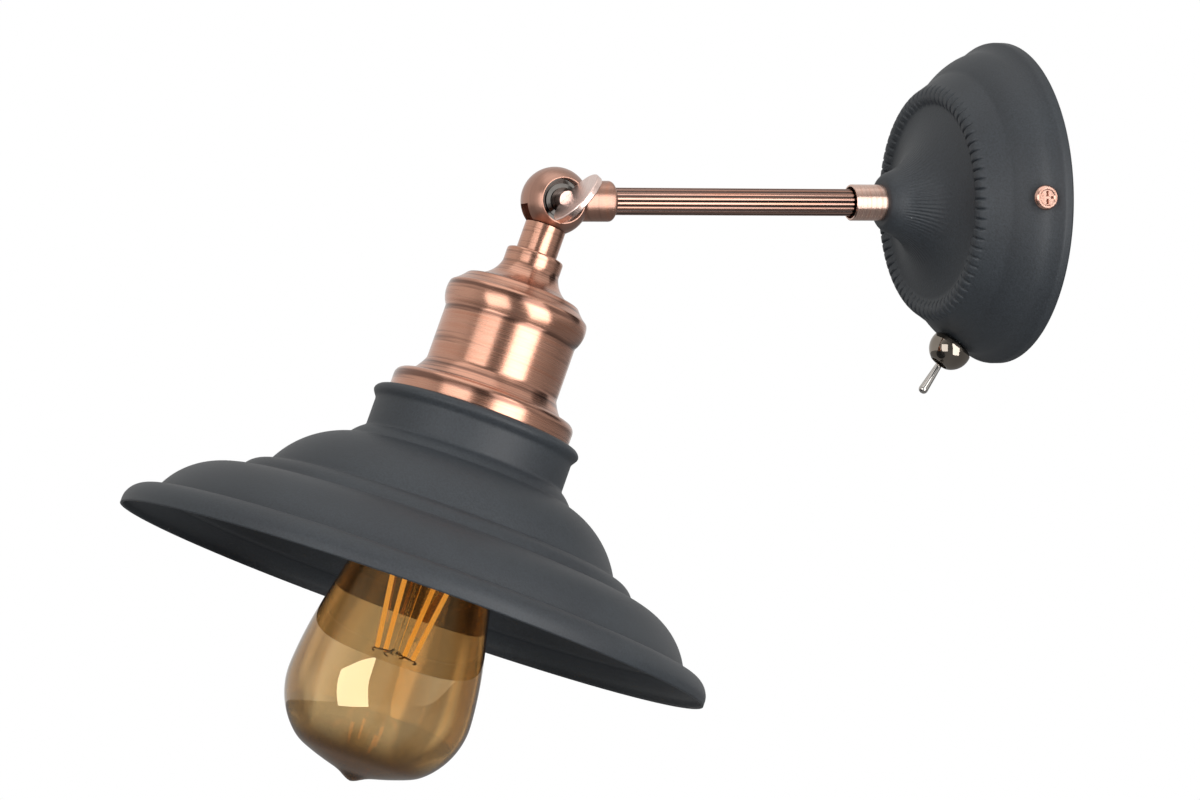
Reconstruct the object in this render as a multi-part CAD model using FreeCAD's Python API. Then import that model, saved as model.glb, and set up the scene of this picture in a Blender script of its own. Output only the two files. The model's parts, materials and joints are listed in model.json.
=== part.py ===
import FreeCAD, Part
import math
import os

# Adjustable wall lamp with a spun shade, a fixed reeded arm, a ball knuckle and a toggle switch.
# Millimetres. The origin is the centre of the plate's wall face. The wall is the plane Y = 0,
# the lamp stands out towards -Y, and +Z is up.
# Two local frames are used. Plate parts are drawn with +Z pointing out of the wall and +Y up.
# Head parts are drawn with the pivot at the origin and +Z pointing along the shade's axis.

Vector = FreeCAD.Vector
X_AXIS, Y_AXIS, Z_AXIS = Vector(1, 0, 0), Vector(0, 1, 0), Vector(0, 0, 1)

# Places and clearances
PIVOT_REACH = 167.7          # wall to the knuckle's pivot
REST_TILT = 21.3             # shade axis from straight down, towards the room
SWING_DOWN = 21.3            # back from rest to straight down
SWING_OUT = 48.0             # from rest up towards the room
THREAD_GAP = 0.03            # radial, in every screwed pair
HOLE_CLEARANCE = 0.15        # radial, where a screw or tube passes through a plain hole
EDGE_BREAK = 0.3             # chamfer on turned ends
CUTTER_OVERRUN = 1.0         # how far a cutter runs past the face it leaves
ROUND_CROWN = 0.293          # crown of a quarter round, as a share of its radius
RUNNING_GAP = 0.05           # radial, on the pivot screw
SIDE_GAP = 0.2               # each side of the tongue in its slot
BALL_GAP = 0.3               # between the ball and the neck's hollow seat

# Wall plate, a pressed steel dome
PLATE_RADIUS = 56.3
PLATE_WALL = 1.0
LIP_DEPTH = 3.0
LIP_INSET = 1.0              # the lip's front edge is this much smaller than the rim
COVE_DEPTH = 8.7             # where the hollow behind the shoulder ends
COVE_INSET = 3.5             # how far the shoulder's foot stands inside the rim
COVE_HOLLOW = 0.35
SHOULDER_CROWN = 0.9
SHOULDER_TOP = (45.9, 17.9)  # radius and depth of the crease between the cone and the shoulder
BEAD_OUTER = 41.2
BEAD_OUTER_DEPTH = 25.1
BEAD_INNER = 34.3
BEAD_INNER_DEPTH = 26.0
BEAD_CROWN = 2.2
FLUTE_COUNT = 72
FLUTE_WIDTH = 1.4
FLUTE_DEPTH = 0.45
FLUTE_LIFT = 0.15            # the flutes run out this far above the bead's feet
DISH_INNER = 20.9
NOSE_CROWN = 0.4
DISH_RISE = 4.4              # the dish's inner edge stands this much further out
DISH_HOLLOW = 0.6
FLANK_HOLLOW = 1.4
NOSE_RADIUS = 10.8
NOSE_FLAT_RADIUS = 8.2
NOSE_ROUND = 3.2             # depth of the nose's rounded end
PLATE_DEPTH = 45.6           # wall to the flat end of the nose

# Wall bracket, bent strip
BRACKET_THICK = 1.5
BRACKET_WIDTH = 24.0
TAB_WIDTH = 10.0
TAB_DEPTH = 13.0
TAB_CLEARANCE = 0.3
CABLE_HOLE = 7.0
SLOT_SPACING = 60.0
SLOT_LENGTH = 12.0
SLOT_WIDTH = 4.6
EAR_WIDTH = 28.0
EAR_HEIGHT = 20.0

# Screws that hold the plate to the bracket
COVER_SCREW_DEPTH = 9.9
COVER_SCREW_RADIUS = 2.0
COVER_SCREW_HEAD = 4.3
COVER_SCREW_HEAD_THICK = 2.0
COVER_SCREW_STANDOFF = 1.9
COVER_SCREW_HOLE = 2.4
COVER_SCREW_TAIL = 2.5       # how far its end runs past the tab
COVER_SCREW_DRAFT = 0.7      # the head's end is this much smaller than its seat
COVER_SCREW_CROWN = 0.3
PAN_ROOM = 0.6               # the recessed pan is this much wider than the cross
PAN_DEPTH = 0.35
DRIVE_WIDTH = 0.9
DRIVE_SPAN = 4.6
DRIVE_DEPTH = 1.0

# Terminal block and earth screw
BLOCK_LENGTH, BLOCK_WIDTH, BLOCK_HEIGHT = 26.0, 13.0, 11.0
POLE_COUNT = 3
POLE_PITCH = 8.4
BLOCK_GROOVE = (1.0, 2.5)    # width and depth between two poles
BARREL_RADIUS = 2.3
BARREL_LIFT = 4.0            # above the bracket
BARREL_INSET = 0.5           # in from each side of the block
WIRE_HOLE = 1.5
CLAMP_SCREW_RADIUS = 1.3
CLAMP_SHAFT_RADIUS = 1.9
CLAMP_HEAD_GAP = 0.1         # radial, in its shaft
CLAMP_HEAD_LIFT = 0.6        # above the barrel
CLAMP_HEAD_THICK = 1.6
CLAMP_SLOT = (0.6, 0.7)      # width and depth
EARTH_PLACE = (17.0, -6.0)
EARTH_RADIUS = 2.0
EARTH_HEAD = 3.8
EARTH_HEAD_THICK = 2.4
EARTH_WASHER_RADIUS = 4.4
EARTH_WASHER_THICK = 0.8
EARTH_HEAD_DRAFT = 1.2
EARTH_HEAD_CROWN = 0.5
EARTH_TEETH = 10
SMALL_TOOTH_DEPTH = 0.7

# Arm
ARM_CREST = 4.72
ARM_VALLEY = 4.36
ARM_REEDS = 16
ARM_THREAD = 4.95
ARM_BORE = 3.0
ARM_INNER_END = 32.0
FERRULE_RADIUS = 6.3
FERRULE_LENGTH = 11.8
FERRULE_MOUTH = 5.6
FERRULE_THREAD_LENGTH = 6.0
REED_RELIEF = 0.3            # from each end of the reeds to the ferrule's thread or the collar
LOCK_NUT_FLATS = 13.0
LOCK_NUT_THICK = 3.0
TOOTH_WASHER_RADIUS = 7.2
TOOTH_WASHER_THICK = 0.6
TOOTH_COUNT = 14
TOOTH_DEPTH = 1.1

# Knuckle
BALL_RADIUS = 11.6
COLLAR_RADIUS = 6.95
COLLAR_LENGTH = 20.7         # pivot to the collar's open end
COLLAR_ROUND = 1.4
ARM_SOCKET_DEPTH = 9.5
TONGUE_THICK = 6.0
TONGUE_WIDTH = 6.0
TONGUE_DISC = 7.0
TONGUE_ROOT = 1.0            # how far the tongue runs into the neck
SCREW_RADIUS = 2.45
RECESS_RADIUS = 7.6
RECESS_LIP = 0.3             # width of the flat lip round the recess
RECESS_FLOOR = 4.9           # from the middle plane
SCREW_END = 9.0              # the screw's plain end, on the far side
COIN_RADIUS = 10.3
COIN_THICK = 2.3
COIN_CENTRE = 20.8
COIN_TURN = 48.0
COIN_ROUND = 0.5
HUB_RADIUS = 3.0
HUB_BITE = 1.6               # how far the hub runs into the coin
WASHERS = {                  # outer radius, thickness, dish height
    "knuckle_flat_washer": (7.4, 1.0, 0.0),
    "knuckle_spring_washer": (5.7, 0.7, 0.5),
    "knuckle_thrust_washer": (4.3, 0.8, 0.0),
}

# Neck and the fittings that clamp the lampholder's cover
NECK_RADIUS = 7.05
NECK_END = 19.6
NECK_SOCKET_DEPTH = 7.0
NECK_WIRE_HOLE = 1.5
NECK_WIRE_GAP = 1.0          # the wire hole starts this far outside the tongue's disc
NIPPLE_RADIUS = 4.95
NIPPLE_BORE = 3.4
NIPPLE_END = 34.0

# Lampholder
HOLDER_RADIUS = 18.6
HOLDER_WALL = 1.7
HOLDER_TOP = 26.0
HOLDER_ENTRY_RADIUS = 7.2
HOLDER_ENTRY_END = 32.0
HOLDER_DOME_END = 39.0
HOLDER_CROWN = 2.0
HOLDER_INNER_CROWN = 1.8
HOLDER_SPLIT = 56.0
SKIRT_RADIUS = 19.5
SKIRT_BORE = 14.9
SKIRT_END = 90.0
SKIRT_CHAMFER = 0.8
SKIRT_THREAD_DEPTH = 0.5
SKIRT_THREAD_TURNS = 7
SKIRT_PLAIN = 4.0            # from the thread's ends to the cover's edge and the skirt's end
SOCKET_FLOOR = 58.0          # face of the contact block, where the thread sleeve starts
CONTACT_BLOCK_DEPTH = 9.0
CONTACT_BLOCK_GAP = 0.1      # radial, in the lampholder's dome
CONTACT_POCKET = (6.0, 5.0)
CONTACT_POCKET_PLACE = 9.0   # from the axis
CONTACT_POCKET_FLOOR = 2.5   # thickness left under each pocket
SLEEVE_BORE = 13.75
SLEEVE_WALL = 0.4
SLEEVE_LENGTH = 26.0
SLEEVE_EYE = 9.0             # radius of the hole in its floor
CONTACT_HEIGHT = 1.7
CONTACT_LEAF = (11.0, 4.4, 0.5)
RIVET_RADIUS = 1.3

# Lampholder cover, spun copper. Its radii below the neck are steps from its waist.
COVER_WALL = 1.0
COVER_SKIRT_GAP = 2.5        # radial, from the skirt to the inside of the waist
COVER_WAIST_RADIUS = SKIRT_RADIUS + COVER_SKIRT_GAP + COVER_WALL
COVER_NECK_RADIUS = 9.9
COVER_NECK_END = 24.8
COVER_SHOULDER_FOOT = (COVER_WAIST_RADIUS - 3.3, 32.6)
COVER_SHOULDER = (COVER_WAIST_RADIUS + 1.2, 36.9)
COVER_WAIST_START = 45.5
COVER_FLARE_START = 64.5
COVER_FLARE = (COVER_WAIST_RADIUS + 4.4, 70.9)
COVER_FLANGE = COVER_WAIST_RADIUS + 8.7
COVER_FLANGE_TOP = 72.9
COVER_END = 78.2
COVER_EDGE_ROUND = 0.6
COVER_FLANK_HOLLOW = 2.1
COVER_SHOULDER_HOLLOW = 0.3
COVER_BELLY_CROWN = 1.0
COVER_FLARE_HOLLOW = 0.4
COVER_FLANGE_CROWN = 1.3

# Shade, spun steel. Each step is its radial growth, its height and its crown.
SHADE_WALL = 0.8
SHADE_HOLE_CLEARANCE = 0.4
SHADE_FLAT = COVER_FLANGE + 1.1
SHADE_BEAD = SHADE_FLAT + 3.6
SHADE_BEAD_HEIGHT = 2.1
SHADE_NECK = SHADE_BEAD - 1.7
SHADE_BEAD_FOOT = 2.6
SHADE_NECK_LENGTH = 10.1
SHADE_BEAD_CROWN = 0.9
SHADE_BEAD_FOOT_CROWN = 0.1
SHADE_STEPS = (
    (4.6, 4.3, 0.3),
    (21.7, 18.0, 3.1),
    (8.3, 5.2, 1.5),
    (23.8, 16.3, 4.3),
    (9.7, 5.9, 2.5),
)
SHADE_LIP = 2.5
RING_RADIUS = 27.0
RING_FLANGE = 2.0
RING_HUB_WALL = 2.4
RING_HUB_LENGTH = 7.0
RING_NOTCHES = 8
RING_NOTCH = 2.6

# Bulb, 64 mm pear with an Edison screw cap
BULB_CONTACT = 60.0
BULB_BUTTON_RADIUS = 4.4
BULB_BUTTON_HEIGHT = 1.6
BULB_BUTTON_FLAT = 2.6
BULB_BUTTON_CROWN = 0.4
BULB_INSULATOR_RADIUS = 11.9
BULB_INSULATOR_END = 66.0
BULB_INSULATOR_SEAT = 1.2    # its small face is this much wider than the contact
BULB_INSULATOR_BAND = 1.0
BULB_INSULATOR_CROWN = 0.8
BULB_SHELL_END = 87.0
BULB_SHELL_CREST = 13.1
BULB_SHELL_ROOT = 12.3
BULB_SHELL_WALL = 0.5
BULB_SHELL_PLAIN = 1.0       # before its first thread
BULB_SHELL_RIM = 2.0         # length of its flared rim
BULB_SHELL_FLARE = 0.3
BULB_THREAD_PITCH = 3.63
GLASS_WALL = 0.9
GLASS_NECK = 11.2
GLASS_NECK_START = 80.0
GLASS_PROFILE = (            # radius, distance from the pivot, crown of the stretch before it
    (13.2, 89.0, 0.0),
    (28.9, 154.3, 0.4),
    (32.0, 178.0, 0.5),
    (20.8, 199.1, 2.8),
    (4.2, 204.4, 0.4),
)
NUB_RADIUS = 2.6             # the sealed tip, where its flank meets its cap
NUB_FLANK = 1.6
NUB_CAP = 0.7
NUB_FLAT = 0.5
NUB_CROWN = 0.2
GLASS_NECK_SET = 2.5         # the pear starts this far inside the cap's rim
STEM_GAP = 0.05              # radial, in the glass neck
STEM_FOOT = 1.5
STEM_FLARE = 12.0            # length of its flared foot
STEM_FLARE_HOLLOW = 2.0
STEM_RADIUS = 4.0
STEM_TIP_RADIUS = 2.3
STEM_END = 113.0
ROD_RADIUS = 1.1
ROD_END = 162.1
ROD_BEAD = 1.0               # half the length of the bead near its end
FILAMENT_COUNT = 4
FILAMENT_RADIUS = 0.8
FILAMENT_TOP = (12.3, 123.2)
FILAMENT_FOOT = (6.6, 162.6)
FILAMENT_TURN = 82.0
SUPPORT_RADIUS = 0.3
SUPPORT_ROOT = 3.0           # the upper wires leave the stem this far before its end

# Toggle switch, on the plate's lower shoulder
SWITCH_DEPTH = 14.5          # where its axis leaves the shoulder, from the wall
SWITCH_TURN = 6.5            # round the plate's axis from straight down, towards -X
BUSH_RADIUS = 3.0
DOME_NUT_RADIUS = 7.4
DOME_NUT_HEIGHT = 8.6
DOME_NUT_FLAT = 3.6
DOME_NUT_CROWN = 1.5
DOME_NUT_CHAMFER = 0.7
DOME_NUT_SEAT = 0.3          # the nut's base stands this far above the shoulder's crest
BUSH_PROUD = 7.4
BUSH_MOUTH = 2.3
BUSH_THROAT = 2.0
BUSH_MOUTH_DEPTH = 2.2
BUSH_WELL = 3.0              # the bush's blind bore ends this far below the lever's pivot
SWITCH_NUT_FLATS = 8.0
SWITCH_NUT_THICK = 1.6
SWITCH_WASHER_RADIUS = 4.6
SWITCH_WASHER_THICK = 0.5
SWITCH_SEAT_GAP = 0.05       # between the dome's hollow face and the washer's edge
SWITCH_BODY = (12.7, 7.9, 9.2)
SWITCH_FRAME_THICK = 0.6
SWITCH_PIN = (0.8, 2.0, 4.0)
SWITCH_PIN_PITCH = 4.7
LEVER_PIVOT = 6.6            # above the shoulder
LEVER_HALF_THROW = 12.0      # it rocks sideways and rests towards +X
LEVER_ROOT_RADIUS = 1.1
LEVER_TIP_RADIUS = 1.65
LEVER_LENGTH = 15.5
LEVER_BALL_RADIUS = 1.6
LEVER_PIN_RADIUS = 0.5
LEVER_PIN_GAP = 0.1          # from each end of the cross pin to the bush
LEVER_FLAT = 0.25            # at the ends of its rounded shape

EXPORT_FOLDER = "parts"


def polar(radius, angle, height=0.0):
    """Point at a radius and an angle in degrees about Z."""
    turn = math.radians(angle)
    return Vector(radius * math.cos(turn), radius * math.sin(turn), height)


class Outline:
    """A closed outline in the half plane of radius and height, drawn point by point."""

    def __init__(self, radius, height):
        self.points = [(radius, height)]
        self.edges = []

    def _add(self, edge, radius, height):
        self.edges.append(edge)
        self.points.append((radius, height))
        return self

    def to(self, radius, height):
        """Straight line to the next point; a point already reached adds nothing."""
        start = self.points[-1]
        if math.dist(start, (radius, height)) < 1e-7:
            return self
        line = Part.LineSegment(Vector(start[0], 0, start[1]), Vector(radius, 0, height))
        return self._add(line.toShape(), radius, height)

    def bow(self, radius, height, crown):
        """Arc to the next point. A positive crown stands away from the axis, a negative is hollow."""
        if abs(crown) < 1e-6:
            return self.to(radius, height)
        middle = bowed_middle(self.points[-1], (radius, height), crown)
        start = self.points[-1]
        arc = Part.Arc(Vector(start[0], 0, start[1]), Vector(middle[0], 0, middle[1]),
                       Vector(radius, 0, height))
        return self._add(arc.toShape(), radius, height)

    def face(self):
        """The closed outline as a flat face."""
        self.to(*self.points[0])
        return Part.Face(Part.Wire(self.edges))

    def turned(self):
        """The closed outline turned about Z into a solid."""
        return self.face().revolve(Vector(), Z_AXIS, 360)

    def shell(self, wall):
        """The open line given a wall on its right-hand side, and turned about Z."""
        section = Part.Wire(self.edges).makeOffset2D(-wall, 0, True, True, False)
        return section.revolve(Vector(), Z_AXIS, 360)


def bowed_middle(start, end, crown):
    """Middle of an arc whose crown stands that far from its chord, away from the axis or up."""
    across, along = end[0] - start[0], end[1] - start[1]
    length = math.hypot(across, along)
    normal = (-along / length, across / length)
    if normal[0] < 0 or (along == 0 and normal[1] < 0):
        normal = (-normal[0], -normal[1])
    return ((start[0] + end[0]) / 2 + crown * normal[0],
            (start[1] + end[1]) / 2 + crown * normal[1])


def drawn(stations, backwards=False):
    """Open line through stations of radius, height and the crown of the stretch that ends there."""
    places = [station[:2] for station in stations]
    crowns = [station[2] for station in stations[1:]]
    if backwards:
        places.reverse()
        crowns.reverse()
    line = Outline(*places[0])
    for place, crown in zip(places[1:], crowns):
        line.bow(*place, crown)
    return line


def arc_circle(start, end, crown):
    """Centre (radius, height) and radius of the arc between two points of an outline."""
    middle = bowed_middle(start, end, crown)
    circle = Part.Arc(*[Vector(r, 0, h) for r, h in (start, middle, end)]).toShape().Curve
    return circle.Center.x, circle.Center.z, circle.Radius


def rod(radius, start, end, inner=0.0):
    """Cylinder or tube between two points."""
    direction = end - start
    solid = Part.makeCylinder(radius, direction.Length, start, direction)
    if inner:
        solid = solid.cut(Part.makeCylinder(inner, direction.Length, start, direction))
    return solid


def washer(outer, inner, bottom, thickness):
    """Flat ring about Z."""
    return rod(outer, Vector(0, 0, bottom), Vector(0, 0, bottom + thickness), inner)


def hexagon(flats, height, bore, bottom):
    """Hexagonal nut about Z, with a plain bore for its thread."""
    corner = flats / math.sqrt(3)
    wire = Part.makePolygon([polar(corner, 60 * side, bottom) for side in range(7)])
    prism = Part.Face(wire).extrude(Vector(0, 0, height))
    return prism.cut(rod(bore, Vector(0, 0, bottom), Vector(0, 0, bottom + height)))


def tooth_washer(outer, inner, bottom, thickness, teeth, depth):
    """Lock washer with notches round its outer edge."""
    ring = washer(outer, inner, bottom, thickness)
    width = math.pi * outer / teeth
    notch = Part.makeBox(2 * depth, width, thickness, Vector(outer - depth, -width / 2, bottom))
    notches = [notch.rotated(Vector(), Z_AXIS, 360 * tooth / teeth) for tooth in range(teeth)]
    return ring.cut(Part.makeCompound(notches))


def box_about(length, width, height, centre):
    """Box centred on a point in X and Y, with its bottom at the point's height."""
    corner = centre - Vector(length / 2, width / 2, 0)
    return Part.makeBox(length, width, height, corner)


def cross_drive(centre):
    """Cross recess cutter, sunk from a face that looks along +Z."""
    bottom = centre - Vector(0, 0, DRIVE_DEPTH)
    return box_about(DRIVE_SPAN, DRIVE_WIDTH, DRIVE_DEPTH, bottom).fuse(
        box_about(DRIVE_WIDTH, DRIVE_SPAN, DRIVE_DEPTH, bottom))


def on_plate(shape):
    """Moves a shape from the plate's local frame to its place."""
    return shape.rotated(Vector(), X_AXIS, 90)


def at_pivot(shape):
    """Moves a shape from a frame at the pivot, with the part's own axes, to its place."""
    return shape.translated(Vector(0, -PIVOT_REACH, 0))


def on_head(shape):
    """Moves a shape from the head's local frame to its place at rest."""
    return at_pivot(shape.rotated(Vector(), X_AXIS, 180 - REST_TILT))


def on_switch(shape):
    """Moves a shape drawn about the switch's axis, pointing out of the plate, to its place."""
    leaned = shape.rotated(Vector(), X_AXIS, 180 - shoulder_lean(SWITCH_DEPTH))
    placed = leaned.translated(Vector(0, -SWITCH_DEPTH, -shoulder_radius(SWITCH_DEPTH)))
    return placed.rotated(Vector(), Y_AXIS, SWITCH_TURN)


# Plate, bracket and what is fixed inside them

SHOULDER_FOOT = (PLATE_RADIUS - COVE_INSET, COVE_DEPTH)
ARM_HOLE = ARM_THREAD + HOLE_CLEARANCE


def shoulder_radius(depth, inset=0.0):
    """Radius of the dome's shoulder at a depth, on its outer face or set in by a wall."""
    centre_radius, centre_depth, radius = arc_circle(SHOULDER_FOOT, SHOULDER_TOP, SHOULDER_CROWN)
    return centre_radius + math.sqrt((radius - inset) ** 2 - (depth - centre_depth) ** 2)


def shoulder_lean(depth):
    """Angle of the shoulder's outward normal from square to the plate's axis."""
    centre_depth, radius = arc_circle(SHOULDER_FOOT, SHOULDER_TOP, SHOULDER_CROWN)[1:]
    return math.degrees(math.asin((depth - centre_depth) / radius))


def plate_line():
    """The plate's outer line, from the arm's hole to the wall."""
    return drawn((
        (ARM_HOLE, PLATE_DEPTH, 0),
        (NOSE_FLAT_RADIUS, PLATE_DEPTH, 0),
        (NOSE_RADIUS, PLATE_DEPTH - NOSE_ROUND, NOSE_CROWN),
        (DISH_INNER, BEAD_INNER_DEPTH + DISH_RISE, -FLANK_HOLLOW),
        (BEAD_INNER, BEAD_INNER_DEPTH, -DISH_HOLLOW),
        (BEAD_OUTER, BEAD_OUTER_DEPTH, BEAD_CROWN),
        (*SHOULDER_TOP, 0),
        (*SHOULDER_FOOT, SHOULDER_CROWN),
        (PLATE_RADIUS - LIP_INSET, LIP_DEPTH + LIP_INSET, -COVE_HOLLOW),
        (PLATE_RADIUS, LIP_DEPTH, 0),
        (PLATE_RADIUS, 0, 0),
    ))


def bead_flutes():
    """Cutters for the radial flutes pressed across the bead."""
    top = BEAD_INNER_DEPTH + 2 * BEAD_CROWN
    groove = Outline(BEAD_INNER, BEAD_INNER_DEPTH + FLUTE_LIFT)
    groove.bow(BEAD_OUTER, BEAD_OUTER_DEPTH + FLUTE_LIFT, BEAD_CROWN - FLUTE_DEPTH - FLUTE_LIFT)
    groove.to(BEAD_OUTER, top).to(BEAD_INNER, top)
    cutter = groove.face().extrude(Vector(0, FLUTE_WIDTH, 0))
    cutter.translate(Vector(0, -FLUTE_WIDTH / 2, 0))
    return [cutter.rotated(Vector(), Z_AXIS, 360 * flute / FLUTE_COUNT)
            for flute in range(FLUTE_COUNT)]


def wall_plate():
    """The dome, with its fluted bead, the arm hole, the screw holes and the switch hole."""
    dome = plate_line().shell(PLATE_WALL)
    reach = Vector(PLATE_RADIUS, 0, 0)
    level = Vector(0, 0, COVER_SCREW_DEPTH)
    dome = dome.cut(rod(COVER_SCREW_HOLE, level - reach, level + reach))
    dome = dome.cut(Part.makeCompound(bead_flutes()))
    through = 4 * PLATE_WALL * Z_AXIS
    switch_hole = rod(BUSH_RADIUS + HOLE_CLEARANCE, -through, through)
    return on_plate(dome).cut(on_switch(switch_hole))


def tab_face():
    """How far from the axis the bracket's tabs can stand inside the dome."""
    inner = shoulder_radius(TAB_DEPTH, PLATE_WALL)
    return math.sqrt(inner ** 2 - (TAB_WIDTH / 2) ** 2) - TAB_CLEARANCE


def strip_hole(x, y, radius):
    """Cutter for a round hole through the bracket's strip."""
    return rod(radius, Vector(x, y, -BRACKET_THICK), Vector(x, y, 2 * BRACKET_THICK))


def slot(x):
    """Cutter for one fixing slot of the bracket."""
    half = (SLOT_LENGTH - SLOT_WIDTH) / 2
    ends = [strip_hole(x + side * half, 0, SLOT_WIDTH / 2) for side in (-1, 1)]
    middle = box_about(2 * half, SLOT_WIDTH, 3 * BRACKET_THICK, Vector(x, 0, -BRACKET_THICK))
    return middle.fuse(ends)


def wall_bracket():
    """Strip bent up at both ends, with fixing slots, a cable hole and an ear for the terminals."""
    face = tab_face()
    strip = box_about(2 * face, BRACKET_WIDTH, BRACKET_THICK, Vector())
    ear = box_about(EAR_WIDTH, EAR_HEIGHT, BRACKET_THICK,
                    Vector(0, BRACKET_WIDTH / 2 + EAR_HEIGHT / 2, 0))
    strip = strip.fuse(ear)
    for side in (-1, 1):
        tab = box_about(BRACKET_THICK, TAB_WIDTH, TAB_DEPTH,
                        Vector(side * (face - BRACKET_THICK / 2), 0, 0))
        strip = strip.fuse(tab)
    level = Vector(0, 0, COVER_SCREW_DEPTH)
    reach = Vector(face + CUTTER_OVERRUN, 0, 0)
    strip = strip.cut(rod(COVER_SCREW_RADIUS + THREAD_GAP, level - reach, level + reach))
    strip = strip.cut(strip_hole(0, 0, CABLE_HOLE))
    for side in (-1, 1):
        strip = strip.cut(slot(side * SLOT_SPACING / 2))
    strip = strip.cut(strip_hole(*EARTH_PLACE, EARTH_RADIUS + THREAD_GAP))
    strip = strip.cut(strip_hole(0, block_height(), CLAMP_SCREW_RADIUS + THREAD_GAP))
    return on_plate(strip.removeSplitter())


def cover_screws():
    """The two cross-head screws that pass through the dome into the bracket's tabs."""
    seat = shoulder_radius(COVER_SCREW_DEPTH) + COVER_SCREW_STANDOFF
    tip = tab_face() - BRACKET_THICK - COVER_SCREW_TAIL
    head_end = seat + COVER_SCREW_HEAD_THICK
    screw = rod(COVER_SCREW_RADIUS, Vector(0, 0, tip), Vector(0, 0, seat))
    head = Outline(0, seat).to(COVER_SCREW_HEAD, seat)
    head.bow(COVER_SCREW_HEAD - COVER_SCREW_DRAFT, head_end, COVER_SCREW_CROWN)
    pan = head_end - PAN_DEPTH
    head.to(DRIVE_SPAN / 2 + PAN_ROOM, head_end).to(DRIVE_SPAN / 2 + PAN_ROOM / 2, pan).to(0, pan)
    screw = screw.fuse(head.turned()).cut(cross_drive(Vector(0, 0, pan)))
    sides = [screw.rotated(Vector(), Y_AXIS, turn) for turn in (90, -90)]
    pair = [side.translated(Vector(0, 0, COVER_SCREW_DEPTH)) for side in sides]
    return on_plate(Part.makeCompound(pair))


def block_height():
    """Height of the terminal block's centre above the plate's axis."""
    return BRACKET_WIDTH / 2 + EAR_HEIGHT / 2


def pole_places():
    """X of each pole of the terminal block."""
    first = -(POLE_COUNT - 1) / 2 * POLE_PITCH
    return [first + pole * POLE_PITCH for pole in range(POLE_COUNT)]


BARREL_LEVEL = BRACKET_THICK + BARREL_LIFT


def terminal_block():
    """Insulating block, bored for its clamp barrels and their screws."""
    centre = Vector(0, block_height(), BRACKET_THICK)
    block = box_about(BLOCK_LENGTH, BLOCK_WIDTH, BLOCK_HEIGHT, centre)
    for x in pole_places():
        start = Vector(x, block_height() - BLOCK_WIDTH, BARREL_LEVEL)
        bore = BARREL_RADIUS + THREAD_GAP
        block = block.cut(rod(bore, start, start + Vector(0, 2 * BLOCK_WIDTH, 0)))
        for side in (-1, 1):
            screw_foot = Vector(x, block_height() + side * BLOCK_WIDTH / 4, BARREL_LEVEL)
            block = block.cut(rod(CLAMP_SHAFT_RADIUS, screw_foot, screw_foot + BLOCK_HEIGHT * Z_AXIS))
    width, depth = BLOCK_GROOVE
    for x in [place + POLE_PITCH / 2 for place in pole_places()[:-1]]:
        groove = box_about(width, BLOCK_WIDTH, depth,
                           Vector(x, block_height(), BRACKET_THICK + BLOCK_HEIGHT - depth))
        block = block.cut(groove)
    return on_plate(block)


def terminal_barrels():
    """Brass barrels in the block, with a bore for the wire."""
    barrels = []
    length = BLOCK_WIDTH - 2 * BARREL_INSET
    for x in pole_places():
        start = Vector(x, block_height() - length / 2, BARREL_LEVEL)
        barrel = rod(BARREL_RADIUS, start, start + Vector(0, length, 0), WIRE_HOLE)
        for side in (-1, 1):
            foot = Vector(x, block_height() + side * BLOCK_WIDTH / 4, BARREL_LEVEL)
            barrel = barrel.cut(rod(CLAMP_SCREW_RADIUS, foot, foot + 2 * BARREL_RADIUS * Z_AXIS))
        barrels.append(barrel)
    return on_plate(Part.makeCompound(barrels))


def terminal_screws():
    """Slotted clamp screws of the terminal block."""
    screws = []
    bottom = BARREL_LEVEL + WIRE_HOLE
    head = BARREL_LEVEL + BARREL_RADIUS + CLAMP_HEAD_LIFT
    head_end = head + CLAMP_HEAD_THICK
    slot_width, slot_depth = CLAMP_SLOT
    for x in pole_places():
        for side in (-1, 1):
            foot = Vector(x, block_height() + side * BLOCK_WIDTH / 4, 0)
            shaft = rod(CLAMP_SCREW_RADIUS - THREAD_GAP, foot + bottom * Z_AXIS, foot + head * Z_AXIS)
            cap = rod(CLAMP_SHAFT_RADIUS - CLAMP_HEAD_GAP, foot + head * Z_AXIS, foot + head_end * Z_AXIS)
            cut = box_about(3 * CLAMP_SHAFT_RADIUS, slot_width, slot_depth,
                            foot + (head_end - slot_depth) * Z_AXIS)
            screws.append(shaft.fuse(cap).cut(cut))
    return on_plate(Part.makeCompound(screws))


def earth_screw():
    """Pan-head earth screw in the bracket."""
    place = Vector(*EARTH_PLACE, 0)
    seat = BRACKET_THICK + EARTH_WASHER_THICK
    screw = rod(EARTH_RADIUS, place, place + seat * Z_AXIS)
    end = seat + EARTH_HEAD_THICK
    head = Outline(0, seat).to(EARTH_HEAD, seat)
    head.bow(EARTH_HEAD - EARTH_HEAD_DRAFT, end, EARTH_HEAD_CROWN).to(0, end)
    head = head.turned().cut(cross_drive(Vector(0, 0, end)))
    return on_plate(screw.fuse(head.translated(place)))


def earth_washer():
    """Washer under the earth screw's head."""
    ring = tooth_washer(EARTH_WASHER_RADIUS, EARTH_RADIUS + HOLE_CLEARANCE, BRACKET_THICK,
                        EARTH_WASHER_THICK, EARTH_TEETH, SMALL_TOOTH_DEPTH)
    return on_plate(ring.translated(Vector(*EARTH_PLACE, 0)))


# Arm

def arm_lock_nut():
    """Nut that pulls the arm's threaded end tight inside the dome."""
    top = PLATE_DEPTH - PLATE_WALL - TOOTH_WASHER_THICK
    return on_plate(hexagon(LOCK_NUT_FLATS, LOCK_NUT_THICK, ARM_THREAD + THREAD_GAP,
                            top - LOCK_NUT_THICK))


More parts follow.
